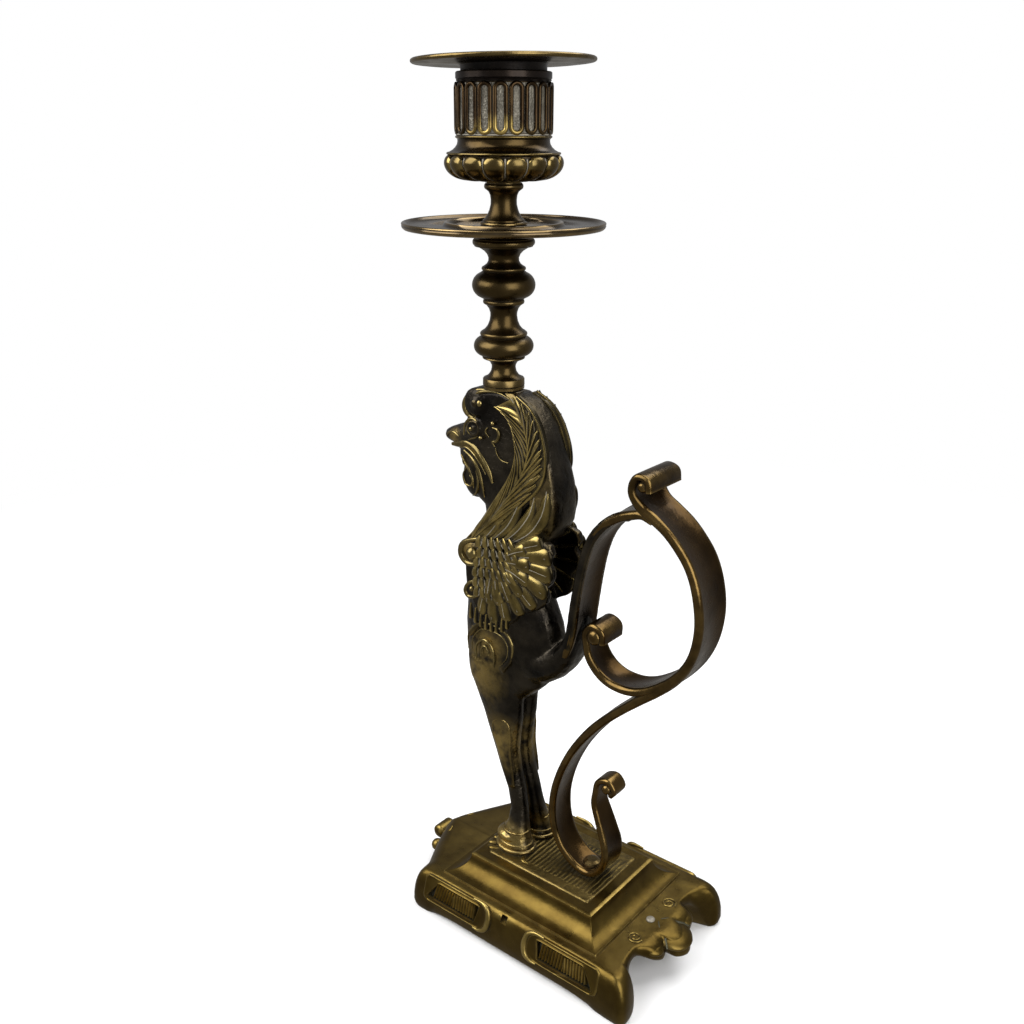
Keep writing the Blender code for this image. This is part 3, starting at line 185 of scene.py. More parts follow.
def ribbed(tree, coords, colour, height, look):  # ribs across the field, with painted shade in their furrows
    x, y = split(tree, coords)[:2]
    x = plus(tree, x, times(tree, noise(tree, coords, 120, 2), look["ribWobble"]))
    wave = maths(tree, "SINE", times(tree, x, 2 * math.pi / look["ribs"]))
    inside = ramp(tree, maths(tree, "ABSOLUTE", y), *look["ribReach"])
    raised = times(tree, ramp(tree, wave, -0.5, 0.8), inside)
    furrowShade = times(tree, ramp(tree, wave, -0.2, -0.8), inside)
    colour = mixed(tree, times(tree, furrowShade, look["furrowShade"]), colour, look["creviceDirtAndShade"])
    return colour, plus(tree, height, times(tree, raised, look["ribHeight"]))


def brassLook(name, special):
    look = {**plainLook, **special}
    material = bpy.data.materials.new(name)
    material.use_nodes = True
    tree = material.node_tree
    shader = tree.nodes["Principled BSDF"]
    coords = node(tree, "ShaderNodeTexCoord").outputs["Object"]
    shape = node(tree, "ShaderNodeNewGeometry").outputs
    patches = noise(tree, coords, look["patchScale"], 6, 0.6, look["stretch"])
    colour = mixed(tree, ramp(tree, patches, *look["patchEdges"]), look["dark"], look["mid"])
    rub = times(tree, noise(tree, coords, look["rubScale"], 4), look["rubShare"])
    worn = times(tree, ramp(tree, shape["Pointiness"], *look["edge"]), ramp(tree, rub, *look["rubEdges"]))
    height = times(tree, noise(tree, coords, look["fineScale"], 3, 0.6), look["grain"])
    if look["cast"]:
        height = plus(tree, height, castHeight(tree, coords, look))
    if look["highlightZones"]:
        colour = paintedHighlightSpots(tree, coords, colour, look)
    if look["ribs"]:
        colour, height = ribbed(tree, coords, colour, height, look)
    if look["hammer"]:
        cells = node(tree, "ShaderNodeTexVoronoi")
        cells.inputs["Scale"].default_value = look["hammer"]
        link(tree, coords, cells.inputs["Vector"])
        height = plus(tree, height, times(tree, cells.outputs["Distance"], look["hammerHeight"]))
    if look["topShade"]:  # painted shade: the bright wear fades out over this height, darker toward the top under the nozzle disc
        low, high = look["topShade"]
        upward = split(tree, coords)[2]
        worn = times(tree, worn, ramp(tree, upward, low * mm, high * mm, 1.0, look["fadeTo"]))
    if look["rear"]:  # painted shade on faces turned backwards and up: the crevice colour, with no wear
        backwards = node(tree, "ShaderNodeVectorMath", operation="DOT_PRODUCT")
        backwards.inputs[1].default_value = look["rearWay"]
        link(tree, shape["Normal"], backwards.inputs[0])
        rearShaded = ramp(tree, backwards.outputs["Value"], *look["rearEdges"], 0.0, look["rear"])
        colour = mixed(tree, rearShaded, colour, look["creviceDirtAndShade"])
        worn = times(tree, worn, maths(tree, "SUBTRACT", 1.0, rearShaded))
    colour = mixed(tree, times(tree, worn, look["wear"]), colour, look["bright"])
    # painted shade and dirt: ambient occlusion, broken into patches, mixes the hollows toward the crevice
    # colour
    shade = node(tree, "ShaderNodeAmbientOcclusion", samples=6)
    shade.inputs["Distance"].default_value = look["creviceSize"] * mm
    scale, *spots = look["dirtAndShadeSpots"]
    dirtAndShade = times(tree, ramp(tree, shade.outputs["AO"], *look["hollow"], 1.0, 0.0),
                 ramp(tree, noise(tree, coords, scale, 3), *spots))
    dirtAndShade = times(tree, dirtAndShade, look["dirtAndShade"])
    link(tree, mixed(tree, dirtAndShade, colour, look["creviceDirtAndShade"]), shader.inputs["Base Color"])
    link(tree, ramp(tree, dirtAndShade, 0.0, 1.0, look["metal"], look["creviceMetal"]), shader.inputs["Metallic"])
    base = ramp(tree, noise(tree, coords, look["roughScale"], 5), 0.3, 0.7, *look["rough"])
    rough = plus(tree, times(tree, dirtAndShade, look["roughDirt"]), base)
    link(tree, maths(tree, "SUBTRACT", rough, times(tree, worn, look["roughWorn"])),
         shader.inputs["Roughness"])
    bump = node(tree, "ShaderNodeBump")
    bump.inputs["Strength"].default_value = look["bump"]
    bump.inputs["Distance"].default_value = look["bumpDepth"] * mm
    link(tree, height, bump.inputs["Height"])
    link(tree, bump.outputs[0], shader.inputs["Normal"])
    return material


looks = {
    "bronze": {"dark": (0.016, 0.014, 0.012), "mid": (0.056, 0.047, 0.034), "bright": (0.42, 0.30, 0.10),
               "rough": (0.2, 0.44), "patchScale": 85, "edge": (0.52, 0.60), "wear": 0.75, "dirtAndShade": 0.8,
               "cast": 0.9, "bump": 0.45,
               # painted golden highlights at these spots
               "highlightZones": [(-35, 8.5, 93, 17), (-24, 7, 66, 14), (-20, 6.5, 30, 9), (-36, 9, 139, 6),
                         (-28, 9, 105, 9), (-47, 3, 176, 4), (-17, 7, 27, 11), (-20, 9, 28, 8)]},
    "relief": {"dark": (0.022, 0.017, 0.010), "mid": (0.085, 0.064, 0.028), "bright": (0.52, 0.40, 0.15),
               "rough": (0.2, 0.34), "patchScale": 90, "edge": (0.505, 0.58), "wear": 0.8, "dirtAndShade": 0.85},
    "feather": {"dark": (0.026, 0.020, 0.008), "mid": (0.110, 0.080, 0.025), "bright": (0.60, 0.45, 0.15),
                "rough": (0.17, 0.32), "edge": (0.504, 0.565), "bump": 0.35, "dirtAndShade": 1.0, "patchScale": 170,
                # painted shade on the feathers' faces turned backwards and up
                "creviceDirtAndShade": (0.010, 0.009, 0.008), "hollow": (0.38, 0.93), "creviceSize": 2.2, "rear": 0.92},
    "residue": {"dark": (0.05, 0.046, 0.037), "mid": (0.16, 0.148, 0.12), "bright": (0.30, 0.27, 0.21),
                "rough": (0.45, 0.65), "metal": 0.3, "patchScale": 300, "dirtAndShade": 0.4},
    "strap": {"dark": (0.026, 0.015, 0.006), "mid": (0.078, 0.045, 0.015), "bright": (0.36, 0.24, 0.08),
              "rough": (0.16, 0.32), "patchScale": 40, "edge": (0.51, 0.575), "creviceSize": 3.0,
              "cast": 0.3},
    "brown": {"dark": (0.036, 0.023, 0.009), "mid": (0.070, 0.047, 0.018), "bright": (0.27, 0.19, 0.075),
              "rough": (0.24, 0.38), "patchScale": 60, "edge": (0.51, 0.57), "stretch": (1, 1, 0.35),
              "creviceSize": 1.6, "grain": 0.12},
    "rim": {"dark": (0.040, 0.027, 0.010), "mid": (0.094, 0.066, 0.022), "bright": (0.42, 0.30, 0.12),
            "rough": (0.2, 0.36), "patchScale": 80, "edge": (0.51, 0.57), "bump": 0.15, "grain": 0.15},
    "pan": {"dark": (0.050, 0.035, 0.020), "mid": (0.105, 0.078, 0.046), "bright": (0.42, 0.29, 0.12),
            "rough": (0.12, 0.24), "patchScale": 70, "edge": (0.508, 0.56), "bump": 0.12, "grain": 0.12,
            "creviceDirtAndShade": (0.012, 0.008, 0.006), "creviceSize": 1.2},
    # painted shadow: near black, for the cup's collar and the nozzle tube in the shade under the nozzle
    # disc
    "discShadow": {"dark": (0.006, 0.005, 0.005), "mid": (0.020, 0.014, 0.011), "bright": (0.06, 0.04, 0.025),
             "rough": (0.26, 0.42), "patchScale": 110, "wear": 0.3, "bump": 0.2, "metal": 0.85},
    "flute": {"dark": (0.020, 0.012, 0.008), "mid": (0.054, 0.032, 0.016), "bright": (0.44, 0.32, 0.10),
              "rough": (0.22, 0.38), "patchScale": 120, "edge": (0.52, 0.62), "wear": 0.5,
              # painted shade: the wear fades out toward the top, under the nozzle disc
              "creviceDirtAndShade": (0.010, 0.009, 0.007), "creviceSize": 1.0, "topShade": (270, 278),
              # painted golden highlights on the flutes at these spots
              "highlightZones": [(-21.5, 12.9, 272.0, 8.5), (-18.5, 10.6, 274.0, 6.0), (-25.5, 14.2, 272.0, 5.5)]},
    "cup": {"dark": (0.024, 0.015, 0.008), "mid": (0.066, 0.044, 0.017), "bright": (0.42, 0.31, 0.11),
            "rough": (0.18, 0.34), "patchScale": 90, "edge": (0.51, 0.58), "creviceDirtAndShade": (0.010, 0.009, 0.007),
            # painted shade: the wear fades out toward the top, under the nozzle disc
            "dirtAndShade": 0.8, "creviceSize": 1.4, "topShade": (276, 284)},
    "recess": {"dark": (0.020, 0.017, 0.014), "mid": (0.12, 0.11, 0.092), "bright": (0.30, 0.27, 0.20),
               "rough": (0.4, 0.6), "metal": 0.4, "hammer": 1500, "bump": 1.0,
               "creviceDirtAndShade": (0.20, 0.185, 0.155), "creviceMetal": 0.0, "creviceSize": 0.6, "patchScale": 260,
               "wear": 0.5},
    "olive": {"dark": (0.078, 0.050, 0.012), "mid": (0.116, 0.077, 0.018), "bright": (0.42, 0.30, 0.09),
              "rough": (0.26, 0.42), "patchScale": 110, "edge": (0.52, 0.60),
              "creviceDirtAndShade": (0.010, 0.014, 0.009), "dirtAndShade": 0.95, "grain": 0.5, "cast": 0.15,
              "hollow": (0.25, 0.8), "bump": 0.45},
    "reed": {"dark": (0.060, 0.041, 0.010), "mid": (0.150, 0.105, 0.027), "bright": (0.46, 0.34, 0.11),
             "rough": (0.3, 0.46), "patchScale": 140, "creviceSize": 0.7, "dirtAndShade": 0.75,
             "creviceDirtAndShade": (0.012, 0.016, 0.010), "grain": 0.5, "cast": 0.2},
    "field": {"dark": (0.050, 0.036, 0.011), "mid": (0.105, 0.075, 0.022), "bright": (0.28, 0.20, 0.07),
              "rough": (0.36, 0.55), "ribs": 0.0017, "bump": 0.8, "creviceDirtAndShade": (0.010, 0.010, 0.007),
              "patchScale": 120, "cast": 0.6},
    "groove": {"dark": (0.006, 0.008, 0.005), "mid": (0.016, 0.019, 0.011), "bright": (0.07, 0.065, 0.035),
               "rough": (0.5, 0.7), "metal": 0.5, "patchScale": 200},
    "steel": {"dark": (0.03, 0.027, 0.024), "mid": (0.08, 0.074, 0.062), "bright": (0.2, 0.18, 0.15),
              "rough": (0.35, 0.5)}}
metals = {name: brassLook(name, look) for name, look in looks.items()}
nodeLooks = {"base": "olive", "figure": "bronze", "scroll": "strap", "stem": "brown", "drip_pan": "pan",
             "neck": "brown", "cup": "cup", "nozzle": "rim", "tie_rod": "steel", "cup_washer": "steel",
             "cup_nut": "steel", "leg_screw_near": "steel", "leg_screw_far": "steel",
             "scroll_screw": "brown", "scroll_nut": "steel"}
for name, look in nodeLooks.items():
    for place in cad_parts[name].material_slots:
        place.material = metals[look]
print("materials", len(metals))


# Shapes

def dress(piece, name, look):
    piece.name = name
    piece.data.materials.clear()
    piece.data.materials.append(metals[look])
    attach(piece, "root")
    return piece


def partly(piece, look, chosen):  # another look where chosen(radius about the stem, height) holds
    piece.data.materials.append(metals[look])
    for face in piece.data.polygons:
        spot = face.center
        if chosen(math.hypot(spot.x - stemX, spot.y) / mm, spot.z / mm):
            face.material_index = 1
    return piece


def only(*pieces):  # nothing else selected, the first of them active
    bpy.ops.object.select_all(action="DESELECT")
    for piece in pieces:
        piece.select_set(True)
    if pieces:
        bpy.context.view_layer.objects.active = pieces[0]


def smoothed(piece, angle=35):
    only(piece)
    bpy.ops.object.shade_smooth_by_angle(angle=math.radians(angle))
    return piece


def editAll(piece):
    only(piece)
    bpy.ops.object.mode_set(mode="EDIT")
    bpy.ops.mesh.select_all(action="SELECT")


def turned(profile, steps=96):  # profile of (radius, height) in mm, spun about the stem
    only()
    bpy.ops.mesh.primitive_plane_add(size=mm, location=(0, 0, 0))
    piece = bpy.context.active_object
    bpy.ops.object.mode_set(mode="EDIT")
    bpy.ops.mesh.select_all(action="SELECT")
    bpy.ops.mesh.merge(type="CENTER")
    bpy.ops.transform.translate(value=(stemX + profile[0][0] * mm, 0, profile[0][1] * mm))
    for (r0, z0), (r1, z1) in zip(profile, profile[1:] + profile[:1]):
        step = ((r1 - r0) * mm, 0, (z1 - z0) * mm)
        bpy.ops.mesh.extrude_vertices_move(TRANSFORM_OT_translate={"value": step})
    bpy.ops.mesh.select_all(action="SELECT")
    bpy.ops.mesh.spin(steps=steps, angle=2 * math.pi, center=(stemX, 0, 0), axis=(0, 0, 1))
    bpy.ops.mesh.select_all(action="SELECT")
    bpy.ops.mesh.remove_doubles(threshold=0.001 * mm)
    bpy.ops.mesh.normals_make_consistent(inside=False)
    bpy.ops.object.mode_set(mode="OBJECT")
    return smoothed(piece)


def swept(rings, looped=False):  # equal rings of points joined one after another
    only()
    bpy.ops.mesh.primitive_circle_add(vertices=len(rings[0]), radius=mm, location=(0, 0, 0))
    piece = bpy.context.active_object
    bpy.ops.object.mode_set(mode="EDIT")
    shape = bmesh.from_edit_mesh(piece.data)
    shape.verts.ensure_lookup_table()
    first = row = list(shape.verts)
    size = len(row)

    def bridge(near, far):
        for i in range(size):
            j = (i + 1) % size
            shape.faces.new((near[i], near[j], far[j], far[i]))

    for number, ring in enumerate(rings):
        if number:
            fresh = [shape.verts.new(v.co) for v in row]
            bridge(row, fresh)
            row = fresh
        for vert, point in zip(row, ring):
            vert.co = point
    if looped:
        bridge(row, first)
    else:
        shape.faces.new(first)
        shape.faces.new(row)
    bmesh.update_edit_mesh(piece.data)
    bpy.ops.mesh.select_all(action="SELECT")
    bpy.ops.mesh.normals_make_consistent(inside=False)
    bpy.ops.object.mode_set(mode="OBJECT")
    return smoothed(piece, 50)


def strand(points, widths, heights, outward, count=20, sides=10):  # a rib, leaf or wire along 3-D points
    path = [Vector(p) for p in curve(points, count)]
    wide, high = spread(widths, count), spread(heights, count)
    thinnest = 0.03
    rings = []
    for i, spot in enumerate(path):
        ahead = (path[min(i + 1, count - 1)] - path[max(i - 1, 0)]).normalized()
        beside = ahead.cross(outward).normalized()
        up = beside.cross(ahead).normalized()
        w, h = max(wide[i], thinnest) * mm, max(high[i], thinnest) * mm
        turns = [2 * math.pi * k / sides for k in range(sides)]
        rings.append([spot + beside * (w * math.cos(turn)) + up * (h * math.sin(turn)) for turn in turns])
    return swept(rings)


def flatStrand(points, y, widths, heights, side=-1, **more):  # the same, drawn in the upright (x, z) plane
    ends = y if isinstance(y, tuple) else (y, y)
    last = len(points) - 1
    spots = [at(p[0], side * (ends[0] + (ends[1] - ends[0]) * i / last), p[1])
             for i, p in enumerate(points)]
    return strand(spots, widths, heights, Vector((0, side, 0)), **more)


# an arched strip between two edges, the first edge is the rib
def band(edgeA, edgeB, y, bulge, side=-1, count=40, steps=6):
    a, b = curve(edgeA, count), curve(edgeB, count)
    back = 1.6
    rings = []
    for i in range(count):
        depth = y[0] + (y[1] - y[0]) * i / (count - 1)
        ring = []

        def place(share, lift):
            x, z = (a[i][k] + (b[i][k] - a[i][k]) * share for k in (0, 1))
            ring.append(at(x, side * (depth + lift), z))

        for k in range(steps + 1):
            place(k / steps, bulge * (math.sin(math.pi * (0.12 + 0.88 * k / steps)) ** 0.7))
        place(1.0, -back)
        place(0.0, -back)
        rings.append(ring)
    return swept(rings)


def bead(x, y, z, size, flat=(1, 1, 1), segments=16):
    only()
    spot = at(x, y, z)
    scale = tuple(size * f for f in flat)
    bpy.ops.mesh.primitive_uv_sphere_add(segments=segments, ring_count=segments // 2, radius=mm,
                                         location=spot, scale=scale)
    piece = bpy.context.active_object
    bpy.ops.object.transform_apply(location=True, rotation=True, scale=True)
    return smoothed(piece, 60)


def joined(parts, name, look):
    only(*parts)
    bpy.ops.object.join()
    return dress(parts[0], name, look)


def facing(piece, name):  # the same relief on the far side, with its own mesh
    copy = piece.copy()
    copy.data = piece.data.copy()
    copy.name = name
    bpy.context.scene.collection.objects.link(copy)
    copy.data.transform(Matrix.Scale(-1, 4, (0, 1, 0)))
    copy.data.flip_normals()
    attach(copy, "root")
    return copy


def bothSides(parts, name, look):
    facing(joined(parts, name + "Near", look), name + "Far")


def applied(piece, kind, **settings):
    only(piece)
    modifier = piece.modifiers.new(kind.title(), kind)
    for key, value in settings.items():
        setattr(modifier, key, value)
    bpy.ops.object.modifier_apply(modifier=modifier.name)
    return piece


def arc(centreR, centreZ, sizeR, sizeZ, start, stop, count=9):
    turns = [math.radians(start + (stop - start) * i / (count - 1)) for i in range(count)]
    return [(centreR + sizeR * math.cos(t), centreZ + sizeZ * math.sin(t)) for t in turns]


# Turned pieces

# points (radius, height over their anchor) and arcs (radius, height, wide, high, from, to, points)
def drawn(s):
    found = []
    for anchor, entries in s["line"]:
        for radius, height, *rest in entries:
            spot = (radius, s[anchor] + height)
            found += arc(*spot, *rest) if rest else [spot]
    return found


stemShape = {"top": stemHigh.z / mm, "foot": stemLow.z / mm, "steps": 112, "line": [
    ("foot", [(2.4, 0)]),
    ("top", [(2.4, 0), (7.4, 0), (7.9, -0.2), (8.05, -0.6), (8.0, -1.9), (8.3, -2.3), (9.4, -2.5),
             (9.2, -3.6, 0.65, 1.0, 75, -75, 7), (9.2, -4.9), (7.9, -5.2), (7.3, -5.6), (6.2, -6.3),
             (5.3, -7.3), (4.85, -8.4), (4.9, -9.4), (5.4, -10.3), (6.2, -10.9),
             (6.5, -11.75, 0.55, 0.6, 80, -80, 7), (6.5, -12.5), (7.0, -12.75),
             (5.9, -16.9, 4.2, 4.1, 68, -68, 15), (6.9, -21.0), (6.2, -21.25),
             (6.1, -22.1, 0.55, 0.75, 80, -80, 7), (5.6, -23.2), (4.8, -24.2), (4.35, -25.6), (4.3, -26.6),
             (4.55, -28.2), (5.2, -29.8), (6.2, -31.0), (7.0, -31.5), (7.1, -32.35, 0.55, 0.65, 80, -80, 7),
             (7.0, -33.1), (6.5, -36.3, 3.2, 3.1, 70, -70, 13), (7.2, -39.3), (6.7, -39.55),
             (6.5, -40.05, 0.45, 0.42, 80, -80, 5), (5.6, -40.7), (4.5, -41.5), (3.95, -42.6), (3.9, -43.4),
             (4.2, -44.7), (5.0, -45.9), (6.0, -46.6), (6.6, -46.8), (6.8, -47.1), (6.85, -48.9),
             (6.55, -49.1), (6.8, -49.3)]),
    ("foot", [(6.8, 0)])]}
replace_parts(dress(turned(drawn(stemShape), stemShape["steps"]), "stemTurned", "brown"), "stem")

neckLow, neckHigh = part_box("neck")
neckShape = {"top": neckHigh.z / mm, "foot": neckLow.z / mm, "steps": 96, "line": [
    ("foot", [(2.4, 0)]),
    ("top", [(2.4, 0), (5.7, 0), (5.5, -1.0, 0.6, 0.9, 70, -70, 7), (5.3, -2.1), (4.7, -2.6), (4.25, -3.6),
             (4.05, -5.0), (4.1, -6.4), (4.5, -8.0), (5.1, -9.4), (5.9, -10.5), (6.5, -11.0),
             (6.6, -11.4)]),
    ("foot", [(7.1, 0.7), (7.3, 0.4), (7.3, 0.1), (7.2, 0)])]}
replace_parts(dress(turned(drawn(neckShape), neckShape["steps"]), "neckTurned", "brown"), "neck")

panLow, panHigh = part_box("drip_pan")
panShape = {
    "low": panLow.z / mm, "high": panHigh.z / mm, "plate": panLow.z / mm + 1.2, "steps": 144, "line": [
        ("low", [(2.4, 0)]),
        ("plate", [(2.4, 0), (16.9, 0), (17.3, 0.7), (17.9, 1.1), (18.6, 1.0), (19.1, 0.1), (19.5, -0.1),
                   (29.6, -0.05), (30.2, 0.3)]),
        ("high", [(30.7, -0.25), (31.3, -0.5, 0.65, 0.5, 150, -40, 9), (31.9, -1.2)]),
        ("low", [(31.7, 0.6), (31.2, 0.15), (30.4, 0), (24.0, 0), (9.0, 0)])]}
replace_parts(dress(turned(drawn(panShape), panShape["steps"]), "panTurned", "pan"), "drip_pan")

cupLow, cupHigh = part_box("cup")
cupShape = {
    "top": cupHigh.z / mm, "foot": cupLow.z / mm, "steps": 152, "collar": 3.2, "line": [
        ("foot", [(2.4, 0), (2.4, 6.0), (13.3, 6.0)]),
        ("top", [(13.3, -0.3), (13.6, 0), (14.2, 0), (14.5, -0.3), (14.5, -1.9), (14.2, -2.2),
                 (14.35, -2.45), (14.1, -2.8), (14.0, -3.1), (14.05, -10), (14.15, -17.5), (14.3, -17.8),
                 (14.35, -18.35, 0.45, 0.4, 80, -80, 7), (14.15, -19.0), (14.1, -19.6), (14.25, -20.4),
                 (14.8, -21.3), (15.7, -22.1), (16.8, -22.7), (17.0, -23.1, 0.55, 0.4, 80, -60, 6),
                 (16.6, -23.8), (16.6, -25.2), (16.2, -27.0), (14.8, -28.6), (12.4, -29.7), (9.4, -30.3),
                 (7.2, -30.7), (6.3, -31.0)]),
        ("foot", [(6.2, 0)])],
    "flutes": 19, "fluteTurn": 90 - 54.2, "rim": 14.45, "fluteHeight": -10.35, "fluteHalf": 5.15,
    "fluteSize": (1.66, 0.66), "fluteDepth": 0.75, "gadroons": 16, "gadroonTurn": 90 - 60.3,
    "bulb": [(15.9, -23.7), (17.1, -24.6), (17.3, -26.2), (16.3, -28.0), (14.2, -29.4), (11.4, -30.2),
             (8.6, -30.7)],
    "bulbSize": ([1.1, 2.7, 3.15, 3.0, 2.5, 1.9, 1.2], [0.5, 1.0, 1.15, 1.1, 1.0, 0.8, 0.4]),
    "seam": [(15.7, -23.9), (16.9, -24.6), (17.15, -26.2), (16.1, -28.1), (14.0, -29.4), (11.3, -30.2)],
    "seamSize": ([0.2, 0.3, 0.3, 0.26, 0.2, 0.1], [0.2, 0.25, 0.25, 0.25, 0.2, 0.1])}
recessShape = {"top": cupShape["top"], "line": [
    ("top", [(13.6, -3.3), (14.1, -3.4), (14.16, -10), (14.26, -17.2), (13.6, -17.3)])]}
lineShape = {"top": cupShape["top"], "line": [
    ("top", [(14.0, -17.35), (14.5, -17.45), (14.5, -17.85), (14.0, -17.95)])]}


def fluteRim(s):  # one long oval rim, standing on the wall
    only()
    major, minor = s["fluteSize"]
    half = s["fluteHalf"] * mm
    bpy.ops.mesh.primitive_torus_add(location=(0, 0, 0), rotation=(math.pi / 2, 0, 0), major_segments=32,
                                     minor_segments=8, major_radius=major * mm, minor_radius=minor * mm)
    piece = bpy.context.active_object
    bpy.ops.object.transform_apply(rotation=True)
    editAll(piece)
    bpy.ops.transform.resize(value=(1, s["fluteDepth"], 1), center_override=(0, 0, 0))
    shape = bmesh.from_edit_mesh(piece.data)
    middle = 0.0001 * mm
    for vert in shape.verts:
        vert.select_set(vert.co.z > middle)
    shape.select_flush(True)
    bmesh.update_edit_mesh(piece.data)
    bpy.ops.transform.translate(value=(0, 0, half))
    bpy.ops.mesh.select_all(action="INVERT")
    bpy.ops.transform.translate(value=(0, 0, -half))
    bpy.ops.mesh.select_all(action="SELECT")
    bpy.ops.transform.translate(value=(stemX, -s["rim"] * mm, (s["top"] + s["fluteHeight"]) * mm))
    bpy.ops.object.mode_set(mode="OBJECT")
    return smoothed(piece, 60)


def down(s, line, sizes, count, sides):  # a bulb or seam of the belly, from below the lip in under the cup
    spots = [Vector((stemX, -r * mm, (s["top"] + z) * mm)) for r, z in line]
    return strand(spots, *sizes, Vector((0, -1, -0.6)), count=count, sides=sides)


def around(piece, count, phase, name, look):
    copies = []
    for i in range(count):
        copy = piece.copy()
        copy.data = piece.data.copy()
        bpy.context.scene.collection.objects.link(copy)
        pivot = Matrix.Translation((stemX, 0, 0))
        turn = Matrix.Rotation(math.radians(phase) + 2 * math.pi * i / count, 4, "Z")
        copy.data.transform(pivot @ turn @ pivot.inverted())
        copies.append(copy)
    bpy.data.objects.remove(piece)
    return joined(copies, name, look)


def makeCup(s):
    cup = dress(turned(drawn(s), s["steps"]), "cupTurned", "cup")
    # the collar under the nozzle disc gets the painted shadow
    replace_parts(partly(cup, "discShadow", lambda r, z: z > s["top"] - s["collar"]), "cup")
    dress(turned(drawn(recessShape), s["steps"]), "cupRecess", "recess")
    around(fluteRim(s), s["flutes"], s["fluteTurn"], "cupFlutes", "flute")
    bulb, seam = down(s, s["bulb"], s["bulbSize"], 26, 14), down(s, s["seam"], s["seamSize"], 24, 8)
    around(bulb, s["gadroons"], s["gadroonTurn"], "cupGadroons", "cup")
    around(seam, s["gadroons"], s["gadroonTurn"] + 180 / s["gadroons"], "cupSeams", "residue")
    dress(turned(drawn(lineShape), s["steps"]), "cupResidueLine", "residue")


makeCup(cupShape)

nozzleShape = {
    "disc": cupShape["top"] + 2.2, "foot": cupShape["foot"] + 6.3, "lean": 1.0, "steps": 144, "line": [
        ("foot", [(11.2, 0), (11.3, 4)]),
        ("disc", [(11.3, 0.75), (11.6, 1.0), (12.6, 1.05), (24.2, 1.1), (25.4, 1.25), (26.0, 1.5),
                  (27.0, 0.9, 0.8, 0.72, 130, -95, 12), (26.2, 0.1), (25.2, 0), (13.6, 0), (13.2, -0.2),
                  (13.0, -0.7)]),
        ("foot", [(12.65, 2), (12.4, 0)])],
    "tube": (13.4, 0.2)}


def makeNozzle(s):
    piece = turned(drawn(s), s["steps"])
    pivot = Matrix.Translation((stemX, 0, cupShape["top"] * mm))
    piece.data.transform(pivot @ Matrix.Rotation(math.radians(-s["lean"]), 4, "Y") @ pivot.inverted())
    wide, high = s["tube"]
    dress(piece, "nozzleTurned", "rim")
    # the tube and the disc's underside near it get the painted shadow
    return partly(piece, "discShadow", lambda r, z: r < wide and z < s["disc"] + high)


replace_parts(makeNozzle(nozzleShape), "nozzle")
print("turned pieces")

# Scroll straps

